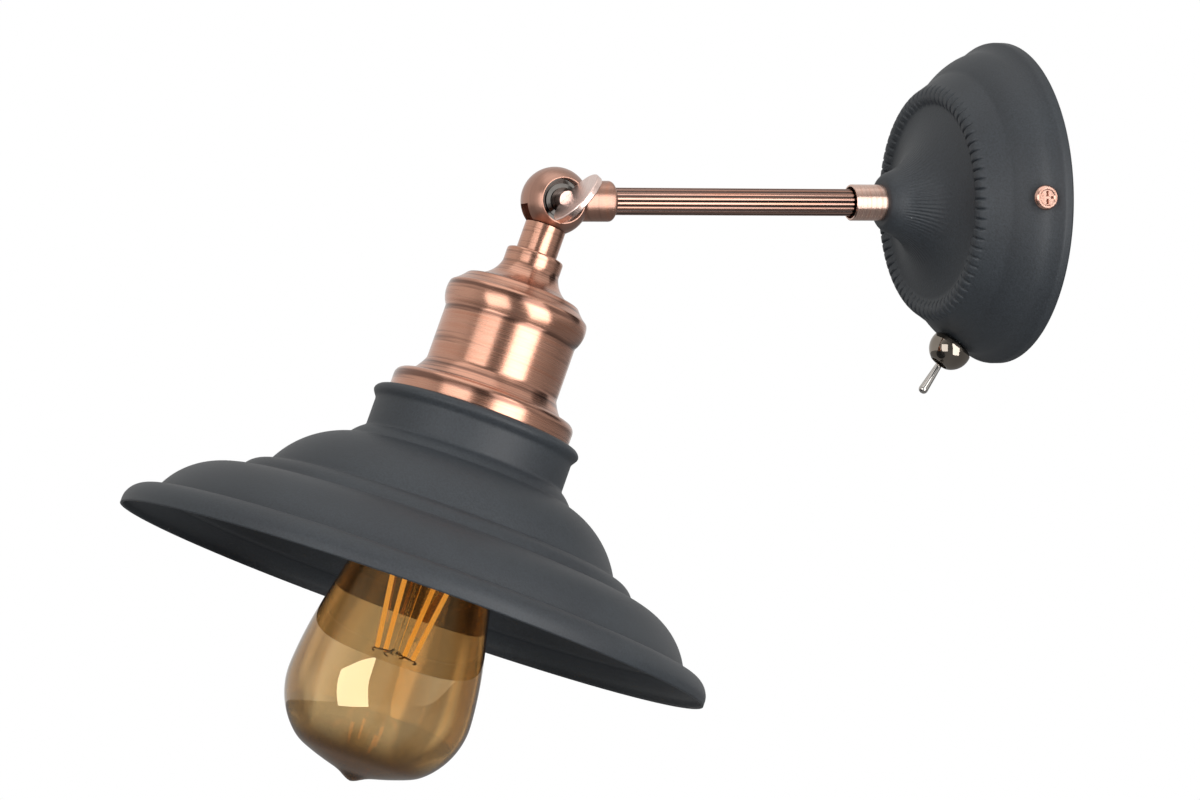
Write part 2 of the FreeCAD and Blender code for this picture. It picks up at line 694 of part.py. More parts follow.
def arm_tooth_washer():
    """Toothed washer between the lock nut and the dome."""
    bottom = PLATE_DEPTH - PLATE_WALL - TOOTH_WASHER_THICK
    return on_plate(tooth_washer(TOOTH_WASHER_RADIUS, ARM_HOLE, bottom, TOOTH_WASHER_THICK,
                                 TOOTH_COUNT, TOOTH_DEPTH))


def arm_ferrule():
    """Copper sleeve nut on the arm's thread, with an open mouth round the reeded tube."""
    end = PLATE_DEPTH + FERRULE_LENGTH
    thread_end = PLATE_DEPTH + FERRULE_THREAD_LENGTH
    sleeve = Outline(ARM_THREAD + THREAD_GAP, PLATE_DEPTH).to(FERRULE_RADIUS, PLATE_DEPTH)
    sleeve.to(FERRULE_RADIUS, end - EDGE_BREAK).to(FERRULE_RADIUS - EDGE_BREAK, end)
    sleeve.to(FERRULE_MOUTH, end).to(FERRULE_MOUTH, thread_end)
    sleeve.to(ARM_THREAD + THREAD_GAP, thread_end)
    return on_plate(sleeve.turned())


def reeded_section():
    """Section of the arm: convex reeds side by side round a circle."""
    step = 360 / ARM_REEDS
    reeds = []
    for reed in range(ARM_REEDS):
        start = reed * step
        arc = Part.Arc(polar(ARM_VALLEY, start), polar(ARM_CREST, start + step / 2),
                       polar(ARM_VALLEY, start + step))
        reeds.append(arc.toShape())
    return Part.Face(Part.Wire(reeds))


def arm_tube():
    """Reeded tube with a plain threaded length at each end."""
    collar_mouth = PIVOT_REACH - COLLAR_LENGTH
    reed_start = PLATE_DEPTH + FERRULE_THREAD_LENGTH + REED_RELIEF
    reed_end = collar_mouth - REED_RELIEF
    tube = reeded_section().extrude(Vector(0, 0, reed_end - reed_start))
    tube = tube.translated(Vector(0, 0, reed_start))
    far_end = collar_mouth + ARM_SOCKET_DEPTH
    wall_end = rod(ARM_THREAD, Vector(0, 0, ARM_INNER_END), Vector(0, 0, reed_start))
    knuckle_end = rod(ARM_THREAD, Vector(0, 0, reed_end), Vector(0, 0, far_end))
    tube = tube.fuse([wall_end, knuckle_end])
    return on_plate(tube.cut(rod(ARM_BORE, Vector(0, 0, 0), Vector(0, 0, far_end))))


# Knuckle

def knuckle_slot():
    """Cutter for the tongue's slot, wide enough for the whole swing, in the part's own axes."""
    half = TONGUE_THICK / 2 + SIDE_GAP
    width = TONGUE_WIDTH + 2 * SIDE_GAP
    reach = BALL_RADIUS + CUTTER_OVERRUN
    stem = Part.makeBox(2 * half, width, reach, Vector(-half, -width / 2, 0))
    down, out = REST_TILT - SWING_DOWN, REST_TILT + SWING_OUT
    stems = [stem.rotated(Vector(), X_AXIS, 180 - tilt) for tilt in (down, out)]
    sweep = turned_sector(reach, half, down, out)
    disc = rod(TONGUE_DISC + BALL_GAP, Vector(-half, 0, 0), Vector(half, 0, 0))
    return disc.fuse(stems + [sweep])


def turned_sector(radius, half, start, end):
    """Slice of a cylinder about X, between two tilts from straight down towards the room."""
    middle = (start + end) / 2

    def point(tilt):
        turn = math.radians(tilt)
        return Vector(-half, -radius * math.sin(turn), -radius * math.cos(turn))
    centre = Vector(-half, 0, 0)
    arc = Part.Arc(point(start), point(middle), point(end)).toShape()
    sides = [Part.LineSegment(centre, point(start)).toShape(),
             Part.LineSegment(point(end), centre).toShape()]
    return Part.Face(Part.Wire([sides[0], arc, sides[1]])).extrude(Vector(2 * half, 0, 0))


def ball_housing():
    """Ball with its collar for the arm, the tongue's slot and the recess for the washers."""
    collar = Outline(0, 0).to(COLLAR_RADIUS, 0)
    collar.to(COLLAR_RADIUS, COLLAR_LENGTH - COLLAR_ROUND)
    collar.bow(COLLAR_RADIUS - COLLAR_ROUND, COLLAR_LENGTH, COLLAR_ROUND * ROUND_CROWN)
    collar.to(0, COLLAR_LENGTH)
    ball = Part.makeSphere(BALL_RADIUS).rotated(Vector(), Y_AXIS, 90)
    body = ball.fuse(collar.turned().rotated(Vector(), X_AXIS, -90))
    socket_floor = COLLAR_LENGTH - ARM_SOCKET_DEPTH
    body = body.cut(rod(ARM_THREAD + THREAD_GAP, Vector(0, socket_floor, 0),
                        Vector(0, COLLAR_LENGTH + CUTTER_OVERRUN, 0)))
    body = body.cut(rod(ARM_BORE, Vector(0, 0, 0), Vector(0, COLLAR_LENGTH, 0)))
    body = body.cut(knuckle_slot())
    lip = math.sqrt(BALL_RADIUS ** 2 - (RECESS_RADIUS + RECESS_LIP) ** 2)
    recess = Outline(0, RECESS_FLOOR).to(RECESS_RADIUS, RECESS_FLOOR).to(RECESS_RADIUS, lip)
    past = BALL_RADIUS + CUTTER_OVERRUN
    recess.to(BALL_RADIUS, lip).to(BALL_RADIUS, past).to(0, past)
    body = body.cut(recess.turned().rotated(Vector(), Y_AXIS, 90))
    body = body.cut(rod(SCREW_RADIUS + RUNNING_GAP, Vector(-BALL_RADIUS, 0, 0),
                        Vector(BALL_RADIUS, 0, 0)))
    return at_pivot(body)


def washer_stack():
    """Bottom of each washer in the recess, counted from the middle plane, and the stack's top."""
    level = RECESS_FLOOR
    places = {}
    for name, (_, thickness, dish) in WASHERS.items():
        places[name] = level
        level += thickness + dish
    return places, level


def knuckle_washer(name):
    """One washer under the thumb screw's hub."""
    outer, thickness, dish = WASHERS[name]
    bottom = washer_stack()[0][name]
    inner = SCREW_RADIUS + HOLE_CLEARANCE
    ring = Outline(inner, bottom + dish).to(outer, bottom).to(outer, bottom + thickness)
    ring.to(inner, bottom + thickness + dish)
    return at_pivot(ring.turned().rotated(Vector(), Y_AXIS, 90))


def thumb_screw():
    """Pivot screw with a coin-shaped head that stands on edge."""
    hub_start = washer_stack()[1] + RUNNING_GAP
    coin_edge = COIN_CENTRE - COIN_RADIUS
    screw = rod(SCREW_RADIUS, Vector(-SCREW_END, 0, 0), Vector(hub_start, 0, 0))
    hub = rod(HUB_RADIUS, Vector(hub_start, 0, 0), Vector(coin_edge + HUB_BITE, 0, 0))
    half = COIN_THICK / 2
    coin = Outline(0, -half).to(COIN_RADIUS - COIN_ROUND, -half)
    coin.bow(COIN_RADIUS, -half + COIN_ROUND, COIN_ROUND * ROUND_CROWN)
    coin.to(COIN_RADIUS, half - COIN_ROUND)
    coin.bow(COIN_RADIUS - COIN_ROUND, half, COIN_ROUND * ROUND_CROWN).to(0, half)
    coin = coin.turned().translated(Vector(COIN_CENTRE, 0, 0))
    coin = coin.rotated(Vector(), X_AXIS, COIN_TURN)
    return at_pivot(screw.fuse([hub, coin]))


def knuckle_neck():
    """Neck tube with its hollow seat under the ball and its tongue through the pivot."""
    tube = Outline(0, 0).to(NECK_RADIUS, 0).to(NECK_RADIUS, NECK_END - EDGE_BREAK)
    tube = tube.to(NECK_RADIUS - EDGE_BREAK, NECK_END).to(0, NECK_END).turned()
    tube = tube.cut(Part.makeSphere(BALL_RADIUS + BALL_GAP))
    half = TONGUE_THICK / 2
    stem = box_about(TONGUE_THICK, TONGUE_WIDTH, BALL_RADIUS + TONGUE_ROOT, Vector())
    disc = rod(TONGUE_DISC, Vector(-half, 0, 0), Vector(half, 0, 0))
    neck = tube.fuse([stem, disc])
    neck = neck.cut(rod(SCREW_RADIUS + RUNNING_GAP, -TONGUE_THICK * X_AXIS, TONGUE_THICK * X_AXIS))
    socket = NECK_END - NECK_SOCKET_DEPTH
    neck = neck.cut(rod(NIPPLE_RADIUS + THREAD_GAP, Vector(0, 0, socket), Vector(0, 0, NECK_END)))
    wire_start = Vector(0, 0, TONGUE_DISC + NECK_WIRE_GAP)
    neck = neck.cut(rod(NECK_WIRE_HOLE, wire_start, Vector(0, 0, NECK_END)))
    return on_head(neck)


# Cover, lampholder and shade

def neck_nipple():
    """Hollow threaded nipple that joins the neck, the cover and the lampholder."""
    start = NECK_END - NECK_SOCKET_DEPTH
    return on_head(rod(NIPPLE_RADIUS, Vector(0, 0, start), Vector(0, 0, NIPPLE_END), NIPPLE_BORE))


def cover_tooth_washer():
    """Toothed washer under the cover's lock nut."""
    seat = NECK_END + COVER_WALL
    return on_head(tooth_washer(TOOTH_WASHER_RADIUS, NIPPLE_RADIUS + HOLE_CLEARANCE, seat,
                                TOOTH_WASHER_THICK, TOOTH_COUNT, TOOTH_DEPTH))


def cover_lock_nut():
    """Nut that clamps the cover's top against the neck."""
    bottom = NECK_END + COVER_WALL + TOOTH_WASHER_THICK
    return on_head(hexagon(LOCK_NUT_FLATS, LOCK_NUT_THICK, NIPPLE_RADIUS + THREAD_GAP, bottom))


def lampholder_cover():
    """Spun copper bell over the lampholder, with its shoulder, waist and flange."""
    bell = drawn((
        (NIPPLE_RADIUS + HOLE_CLEARANCE, NECK_END, 0),
        (COVER_NECK_RADIUS - COVER_EDGE_ROUND, NECK_END, 0),
        (COVER_NECK_RADIUS, NECK_END + COVER_EDGE_ROUND, COVER_EDGE_ROUND * ROUND_CROWN),
        (COVER_NECK_RADIUS, COVER_NECK_END, 0),
        (*COVER_SHOULDER_FOOT, -COVER_FLANK_HOLLOW),
        (*COVER_SHOULDER, -COVER_SHOULDER_HOLLOW),
        (COVER_WAIST_RADIUS, COVER_WAIST_START, COVER_BELLY_CROWN),
        (COVER_WAIST_RADIUS, COVER_FLARE_START, 0),
        (*COVER_FLARE, -COVER_FLARE_HOLLOW),
        (COVER_FLANGE, COVER_FLANGE_TOP, COVER_FLANGE_CROWN),
        (COVER_FLANGE, COVER_END, 0),
    ), backwards=True)
    return on_head(bell.shell(COVER_WALL))


def lampholder_dome():
    """Upper half of the lampholder, screwed on the nipple."""
    inner = HOLDER_RADIUS - HOLDER_WALL
    dome = Outline(NIPPLE_RADIUS + THREAD_GAP, HOLDER_TOP).to(HOLDER_ENTRY_RADIUS, HOLDER_TOP)
    dome.to(HOLDER_ENTRY_RADIUS, HOLDER_ENTRY_END)
    dome.bow(HOLDER_RADIUS, HOLDER_DOME_END, HOLDER_CROWN)
    dome.to(HOLDER_RADIUS, HOLDER_SPLIT).to(inner, HOLDER_SPLIT)
    dome.to(inner, HOLDER_DOME_END + HOLDER_WALL)
    dome.bow(HOLDER_ENTRY_RADIUS, HOLDER_ENTRY_END + HOLDER_WALL, HOLDER_INNER_CROWN)
    dome.to(NIPPLE_RADIUS + THREAD_GAP, HOLDER_ENTRY_END + HOLDER_WALL)
    return on_head(dome.turned())


def lampholder_skirt():
    """Lower half of the lampholder, threaded outside for the shade ring."""
    skirt = Outline(HOLDER_RADIUS - HOLDER_WALL, HOLDER_SPLIT).to(SKIRT_RADIUS, HOLDER_SPLIT)
    crest, root = SKIRT_RADIUS, SKIRT_RADIUS - SKIRT_THREAD_DEPTH
    thread_start = COVER_END - SKIRT_PLAIN
    quarter = (SKIRT_END - SKIRT_PLAIN - thread_start) / SKIRT_THREAD_TURNS / 4
    skirt.to(crest, thread_start)
    for turn in range(SKIRT_THREAD_TURNS):
        start = thread_start + 4 * turn * quarter
        skirt.to(root, start + quarter).to(root, start + 2 * quarter)
        skirt.to(crest, start + 3 * quarter).to(crest, start + 4 * quarter)
    skirt.to(crest, SKIRT_END - SKIRT_CHAMFER).to(crest - SKIRT_CHAMFER, SKIRT_END)
    skirt.to(SKIRT_BORE, SKIRT_END)
    skirt.to(SKIRT_BORE, SOCKET_FLOOR).to(HOLDER_RADIUS - HOLDER_WALL, SOCKET_FLOOR)
    return on_head(skirt.turned())


def contact_block():
    """Ceramic block that carries the lampholder's contacts."""
    top = SOCKET_FLOOR - CONTACT_BLOCK_DEPTH
    radius = HOLDER_RADIUS - HOLDER_WALL - CONTACT_BLOCK_GAP
    block = rod(radius, Vector(0, 0, top), Vector(0, 0, SOCKET_FLOOR))
    for side in (-1, 1):
        pocket = box_about(*CONTACT_POCKET, CONTACT_BLOCK_DEPTH - CONTACT_POCKET_FLOOR,
                           Vector(side * CONTACT_POCKET_PLACE, 0, top))
        block = block.cut(pocket)
    block = block.cut(rod(RIVET_RADIUS, Vector(0, 0, top), Vector(0, 0, SOCKET_FLOOR)))
    return on_head(block)


def screw_sleeve():
    """Thin threaded sleeve that takes the bulb's cap."""
    outer = SLEEVE_BORE + SLEEVE_WALL
    end = SOCKET_FLOOR + SLEEVE_LENGTH
    sleeve = Outline(SLEEVE_EYE, SOCKET_FLOOR).to(outer, SOCKET_FLOOR).to(outer, end)
    sleeve.to(SLEEVE_BORE, end).to(SLEEVE_BORE, SOCKET_FLOOR + SLEEVE_WALL)
    sleeve.to(SLEEVE_EYE, SOCKET_FLOOR + SLEEVE_WALL)
    return on_head(sleeve.turned())


def centre_contact():
    """Sprung brass leaf on its rivet, under the bulb's end contact."""
    length, width, thick = CONTACT_LEAF
    top = SOCKET_FLOOR + CONTACT_HEIGHT
    leaf = box_about(length, width, thick, Vector(0, 0, top - thick))
    foot = rod(RIVET_RADIUS - THREAD_GAP, Vector(0, 0, SOCKET_FLOOR - CONTACT_BLOCK_DEPTH),
               Vector(0, 0, top - thick))
    return on_head(leaf.fuse(foot))


def shade_line():
    """The shade's outer line, drawn from its rim up to the hole for the lampholder."""
    stations = [
        (SKIRT_RADIUS + SHADE_HOLE_CLEARANCE, COVER_END, 0),
        (SHADE_FLAT, COVER_END, 0),
        (SHADE_BEAD, COVER_END + SHADE_BEAD_HEIGHT, SHADE_BEAD_CROWN),
    ]
    level = COVER_END + SHADE_BEAD_HEIGHT + SHADE_BEAD_FOOT
    stations.append((SHADE_NECK, level, SHADE_BEAD_FOOT_CROWN))
    radius, level = SHADE_NECK, level + SHADE_NECK_LENGTH
    stations.append((radius, level, 0))
    for growth, height, crown in SHADE_STEPS:
        radius += growth
        level += height
        stations.append((radius, level, crown))
    stations.append((radius, level + SHADE_LIP, 0))
    return drawn(stations, backwards=True)


def shade():
    """Spun steel shade: flat top, bead, neck, two bells with steps and a turned-down lip."""
    return on_head(shade_line().shell(SHADE_WALL))


def shade_ring():
    """Ring nut that holds the shade up against the cover."""
    seat = COVER_END + SHADE_WALL
    bore = SKIRT_RADIUS + THREAD_GAP
    hub = bore + RING_HUB_WALL
    ring = Outline(bore, seat).to(RING_RADIUS, seat).to(RING_RADIUS, seat + RING_FLANGE)
    ring.to(hub, seat + RING_FLANGE).to(hub, seat + RING_HUB_LENGTH)
    ring.to(bore, seat + RING_HUB_LENGTH)
    solid = ring.turned()
    notches = [box_about(2 * RING_NOTCH, RING_NOTCH, RING_FLANGE, polar(RING_RADIUS, 0, seat))
               .rotated(Vector(), Z_AXIS, 360 * notch / RING_NOTCHES) for notch in range(RING_NOTCHES)]
    return on_head(solid.cut(Part.makeCompound(notches)))


# Bulb

def bulb_contact():
    """End contact of the bulb's cap."""
    top = BULB_CONTACT + BULB_BUTTON_HEIGHT
    button = Outline(0, BULB_CONTACT).to(BULB_BUTTON_FLAT, BULB_CONTACT)
    button.bow(BULB_BUTTON_RADIUS, top, BULB_BUTTON_CROWN).to(0, top)
    return on_head(button.turned())


def bulb_insulator():
    """Glass insulator between the end contact and the screwed shell."""
    top = BULB_CONTACT + BULB_BUTTON_HEIGHT
    cone = Outline(0, top).to(BULB_BUTTON_RADIUS + BULB_INSULATOR_SEAT, top)
    cone.bow(BULB_INSULATOR_RADIUS, BULB_INSULATOR_END - BULB_INSULATOR_BAND, BULB_INSULATOR_CROWN)
    cone.to(BULB_INSULATOR_RADIUS, BULB_INSULATOR_END).to(0, BULB_INSULATOR_END)
    return on_head(cone.turned())


def bulb_shell():
    """Screwed metal shell of the cap, its thread drawn as rounded rings."""
    wall = BULB_SHELL_WALL
    start = BULB_INSULATOR_END + BULB_SHELL_PLAIN
    rim = BULB_SHELL_END - BULB_SHELL_RIM
    turns = int((rim - start) / BULB_THREAD_PITCH)
    shell = Outline(0, BULB_INSULATOR_END).to(BULB_SHELL_ROOT, BULB_INSULATOR_END)
    shell.to(BULB_SHELL_ROOT, start)
    for turn in range(turns):
        level = start + turn * BULB_THREAD_PITCH
        shell.bow(BULB_SHELL_ROOT, level + BULB_THREAD_PITCH, BULB_SHELL_CREST - BULB_SHELL_ROOT)
    shell.to(BULB_SHELL_ROOT, rim).bow(BULB_SHELL_CREST, BULB_SHELL_END, -BULB_SHELL_FLARE)
    shell.to(BULB_SHELL_CREST - wall, BULB_SHELL_END).to(BULB_SHELL_ROOT - wall, rim)
    shell.to(BULB_SHELL_ROOT - wall, BULB_INSULATOR_END + wall).to(0, BULB_INSULATOR_END + wall)
    return on_head(shell.turned())


def bulb_glass():
    """Amber pear envelope, a thin shell with a sealed nub at its end."""
    neck_end = BULB_SHELL_END - GLASS_NECK_SET
    neck = ((GLASS_NECK, GLASS_NECK_START, 0), (GLASS_NECK, neck_end, 0))
    level = GLASS_PROFILE[-1][1] + NUB_FLANK
    end = level + NUB_CAP
    tip = ((NUB_RADIUS, level, 0), (NUB_FLAT, end, NUB_CROWN), (0, end, 0))
    pear = drawn(neck + GLASS_PROFILE + tip, backwards=True)
    return on_head(pear.shell(GLASS_WALL))


def bulb_stem():
    """Glass stem in the bulb's neck, with the thin rod that carries the filaments."""
    foot = GLASS_NECK - GLASS_WALL - STEM_GAP
    stem = Outline(0, GLASS_NECK_START).to(foot, GLASS_NECK_START)
    stem.to(foot, GLASS_NECK_START + STEM_FOOT)
    stem.bow(STEM_RADIUS, GLASS_NECK_START + STEM_FLARE, -STEM_FLARE_HOLLOW)
    stem.to(STEM_TIP_RADIUS, STEM_END).to(ROD_RADIUS, STEM_END + STEM_TIP_RADIUS - ROD_RADIUS)
    stem.to(ROD_RADIUS, ROD_END - ROD_BEAD).to(2 * ROD_RADIUS, ROD_END)
    stem.to(ROD_RADIUS, ROD_END + ROD_BEAD).to(0, ROD_END + ROD_BEAD)
    return on_head(stem.turned())


def filament_ends():
    """Upper and lower end of each filament, in the head's frame."""
    ends = []
    for filament in range(FILAMENT_COUNT):
        angle = FILAMENT_TURN + 360 * filament / FILAMENT_COUNT
        ends.append((polar(FILAMENT_TOP[0], angle, FILAMENT_TOP[1]),
                     polar(FILAMENT_FOOT[0], angle, FILAMENT_FOOT[1])))
    return ends


def bulb_filaments():
    """The straight coated filaments."""
    return on_head(Part.makeCompound([rod(FILAMENT_RADIUS, top, foot) for top, foot in filament_ends()]))


def bulb_supports():
    """Thin wires that hold both ends of each filament to the stem."""
    wires = []
    for top, foot in filament_ends():
        for end, level, reach in ((top, STEM_END - SUPPORT_ROOT, STEM_TIP_RADIUS),
                                  (foot, ROD_END, 0)):
            flat = Vector(end.x, end.y, 0).normalize()
            wires.append(rod(SUPPORT_RADIUS, flat * reach + Vector(0, 0, level), end))
    supports = on_head(Part.makeCompound(wires))
    return supports.cut(Part.makeCompound([bulb_filaments(), bulb_stem()]))


# Switch

def switch_dome_nut():
    """Domed nut over the switch's bush, outside the plate."""
    bore = BUSH_RADIUS + THREAD_GAP
    nut = Outline(bore, DOME_NUT_SEAT).to(DOME_NUT_RADIUS - DOME_NUT_CHAMFER, DOME_NUT_SEAT)
    nut.to(DOME_NUT_RADIUS, DOME_NUT_SEAT + DOME_NUT_CHAMFER)
    end = DOME_NUT_SEAT + DOME_NUT_HEIGHT
    nut.bow(DOME_NUT_FLAT, end, DOME_NUT_CROWN).to(bore, end)
    return on_switch(nut.turned())


def switch_levels():
    """Heights of the switch's inner pieces below the plate's outer face."""
    hollow = arc_circle(SHOULDER_FOOT, SHOULDER_TOP, SHOULDER_CROWN)[2] - PLATE_WALL
    sag = hollow - math.sqrt(hollow ** 2 - SWITCH_WASHER_RADIUS ** 2)
    washer_top = -(PLATE_WALL + sag + SWITCH_SEAT_GAP)
    nut_top = washer_top - SWITCH_WASHER_THICK
    frame_top = nut_top - SWITCH_NUT_THICK
    return washer_top, nut_top, frame_top


def switch_washer():
    """Toothed washer inside the plate."""
    bottom = switch_levels()[0] - SWITCH_WASHER_THICK
    return on_switch(tooth_washer(SWITCH_WASHER_RADIUS, BUSH_RADIUS + HOLE_CLEARANCE, bottom,
                                  SWITCH_WASHER_THICK, TOOTH_COUNT, SMALL_TOOTH_DEPTH))


def switch_lock_nut():
    """Hexagonal nut on the bush, inside the plate."""
    return on_switch(hexagon(SWITCH_NUT_FLATS, SWITCH_NUT_THICK, BUSH_RADIUS + THREAD_GAP,
                             switch_levels()[1] - SWITCH_NUT_THICK))


def switch_bush():
    """Threaded bush with its frame plate, bored for the lever."""
    frame_top = switch_levels()[2]
    mouth = BUSH_PROUD - BUSH_MOUTH_DEPTH
    floor = LEVER_PIVOT - BUSH_WELL
    bush = Outline(BUSH_THROAT, floor).to(BUSH_THROAT, mouth).to(BUSH_MOUTH, BUSH_PROUD)
    bush.to(BUSH_RADIUS - EDGE_BREAK, BUSH_PROUD).to(BUSH_RADIUS, BUSH_PROUD - EDGE_BREAK)
    bush.to(BUSH_RADIUS, frame_top).to(0, frame_top).to(0, floor)
    length, width, _ = SWITCH_BODY
    frame = box_about(length, width, SWITCH_FRAME_THICK, Vector(0, 0, frame_top - SWITCH_FRAME_THICK))
    return on_switch(bush.turned().fuse(frame))


def switch_body():
    """Moulded body of the switch."""
    length, width, height = SWITCH_BODY
    top = switch_levels()[2] - SWITCH_FRAME_THICK
    return on_switch(box_about(length, width, height, Vector(0, 0, top - height)))


def switch_pins():
    """Solder tags under the switch's body."""
    thick, width, length = SWITCH_PIN
    bottom = switch_levels()[2] - SWITCH_FRAME_THICK - SWITCH_BODY[2] - length
    pins = [box_about(thick, width, length, Vector(place * SWITCH_PIN_PITCH, 0, bottom))
            for place in (-1, 0, 1)]
    return on_switch(Part.makeCompound(pins))


def toggle_lever():
    """Bat lever with a round tip, on the small ball and cross pin it rocks about."""
    flat, ball = LEVER_FLAT, LEVER_BALL_RADIUS
    root = math.sqrt(ball ** 2 - LEVER_ROOT_RADIUS ** 2)
    lever = Outline(0, -ball).to(flat, -ball).bow(ball, 0, ball * ROUND_CROWN)
    lever.bow(LEVER_ROOT_RADIUS, root, (ball - LEVER_ROOT_RADIUS) * ROUND_CROWN)
    lever.to(LEVER_TIP_RADIUS, LEVER_LENGTH - LEVER_TIP_RADIUS)
    lever.bow(flat, LEVER_LENGTH, LEVER_TIP_RADIUS * ROUND_CROWN).to(0, LEVER_LENGTH)
    pin_end = (BUSH_THROAT - LEVER_PIN_GAP) * Y_AXIS
    lever = lever.turned().fuse(rod(LEVER_PIN_RADIUS, -pin_end, pin_end))
    lever = lever.rotated(Vector(), Y_AXIS, LEVER_HALF_THROW)
    return on_switch(lever.translated(Vector(0, 0, LEVER_PIVOT)))


PARTS = {
    "wall_plate": wall_plate,
    "wall_bracket": wall_bracket,
    "cover_screws": cover_screws,
    "terminal_block": terminal_block,
    "terminal_barrels": terminal_barrels,
    "terminal_screws": terminal_screws,
    "earth_screw": earth_screw,
    "earth_washer": earth_washer,
    "arm_lock_nut": arm_lock_nut,
    "arm_tooth_washer": arm_tooth_washer,
    "arm_ferrule": arm_ferrule,
    "arm_tube": arm_tube,
    "ball_housing": ball_housing,
    "thumb_screw": thumb_screw,
    "knuckle_neck": knuckle_neck,
    "neck_nipple": neck_nipple,
    "cover_tooth_washer": cover_tooth_washer,
    "cover_lock_nut": cover_lock_nut,
    "lampholder_cover": lampholder_cover,
    "lampholder_dome": lampholder_dome,
    "lampholder_skirt": lampholder_skirt,
    "contact_block": contact_block,
    "screw_sleeve": screw_sleeve,
    "centre_contact": centre_contact,
    "shade": shade,
    "shade_ring": shade_ring,
    "bulb_contact": bulb_contact,
    "bulb_insulator": bulb_insulator,
    "bulb_shell": bulb_shell,
    "bulb_glass": bulb_glass,
    "bulb_stem": bulb_stem,
    "bulb_filaments": bulb_filaments,
    "bulb_supports": bulb_supports,
    "switch_dome_nut": switch_dome_nut,
    "switch_washer": switch_washer,
    "switch_lock_nut": switch_lock_nut,
    "switch_bush": switch_bush,
    "switch_body": switch_body,
    "switch_pins": switch_pins,
    "toggle_lever": toggle_lever,
}


def main():
    os.makedirs(EXPORT_FOLDER, exist_ok=True)
    shapes = {name: build() for name, build in PARTS.items()}
    for name in WASHERS:
        shapes[name] = knuckle_washer(name)
    for name, shape in shapes.items():
        shape.exportStep(f"{EXPORT_FOLDER}/{name}.step")
        print(f"{name}: solids {len(shape.Solids)}, volume {shape.Volume:.1f}, valid {shape.isValid()}")


main()
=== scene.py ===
"""Looks of an adjustable wall lamp with a powder-coated plate and shade, copper fittings and an amber bulb.

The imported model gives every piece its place. This script makes finer meshes for the plate, the shade,
the cover and the bulb, dresses every other piece where it stands, and sets up the studio.
Sizes are written in millimetres and turned to metres where a mesh is made. Each sub-assembly is drawn
in its own frame, with +Z along its axis, and then put in its place in the row frame.
"""

import json
import logging
import math
from abc import ABC, abstractmethod
from collections.abc import Sequence
from dataclasses import dataclass, field
from enum import Enum

import bmesh
import bpy
from bmesh.types import BMesh
from bpy.types import ID, Material, Node, NodeSocket as Socket, NodeTree, Object
from mathutils import Euler, Matrix, Quaternion, Vector


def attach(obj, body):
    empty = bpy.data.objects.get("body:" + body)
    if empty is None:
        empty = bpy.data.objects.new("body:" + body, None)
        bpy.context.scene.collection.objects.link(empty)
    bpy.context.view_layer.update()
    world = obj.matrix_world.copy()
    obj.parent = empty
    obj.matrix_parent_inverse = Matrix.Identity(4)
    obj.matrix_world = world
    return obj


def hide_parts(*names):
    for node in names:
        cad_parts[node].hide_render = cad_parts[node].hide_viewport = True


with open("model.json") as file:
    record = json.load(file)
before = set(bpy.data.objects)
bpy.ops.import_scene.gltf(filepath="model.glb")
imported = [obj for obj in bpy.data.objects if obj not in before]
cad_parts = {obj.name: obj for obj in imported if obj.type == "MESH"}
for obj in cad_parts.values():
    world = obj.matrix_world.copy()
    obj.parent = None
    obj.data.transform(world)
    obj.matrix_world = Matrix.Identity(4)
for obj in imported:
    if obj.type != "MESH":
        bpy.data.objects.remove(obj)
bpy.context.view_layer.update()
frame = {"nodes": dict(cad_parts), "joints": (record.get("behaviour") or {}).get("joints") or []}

MM = 0.001
LOG = logging.getLogger("wall_lamp")

Point = tuple[float, float]
Triple = tuple[float, float, float]
Station = Triple                                # radius, height, and crown of the stretch up to there
Fade = tuple[float, float, float, float]        # where a value starts and ends, and the results there


class Body(Enum):
    """The bodies that new pieces ride on."""

    ROOT = "root"
    HEAD = "head"
    BULB = "bulb"


class Slot(Enum):
    """The record's material slots, kept with each new piece though nothing here uses them."""

    POWDER = "powder_coat"
    COPPER = "copper"
    GLASS = "amber_glass"
    FILAMENT = "filament"
    WIRE = "wire"


class Grain(Enum):
    """Which way a metal's brush lines run about its own axis."""

    ROUND = "round"
    ALONG = "along"


# Places


@dataclass(frozen=True)
class Place:
    """A sub-assembly's own frame: where its origin is and how it is turned, in the row frame."""

    origin: Triple
    turn: Triple

    @property
    def matrix(self) -> Matrix:
        """The matrix from the sub-assembly's frame to the row frame."""
        return Matrix.Translation(self.origin) @ Euler(self.turn).to_matrix().to_4x4()


def joint_named(name: str) -> dict:
    """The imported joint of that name."""
    return next(joint for joint in frame["joints"] if joint["name"] == name)


def places() -> dict[str, Place]:
    """Works out each sub-assembly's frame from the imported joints.

    Returns:
        The frames of the plate, the pivot, the head and the switch, by name.
    """
    pivot = tuple(joint_named("shade_tilt")["pos_m"])
    along = Vector(joint_named("bulb_out")["axis"])
    tilt = math.atan2(-along.y, -along.z)
    toggle = joint_named("toggle")
    hinge = Vector(toggle["axis"])
    return {
        "plate": Place((0, 0, 0), (math.pi / 2, 0, 0)),
        "pivot": Place(pivot, (0, math.pi / 2, 0)),
        "head": Place(pivot, (math.pi - tilt, 0, 0)),
        "switch": Place(tuple(toggle["pos_m"]), (
            math.pi - math.acos(abs(hinge.y)), math.atan(hinge.x / hinge.z), 0)),
    }


PLACES = places()


# Shader nodes


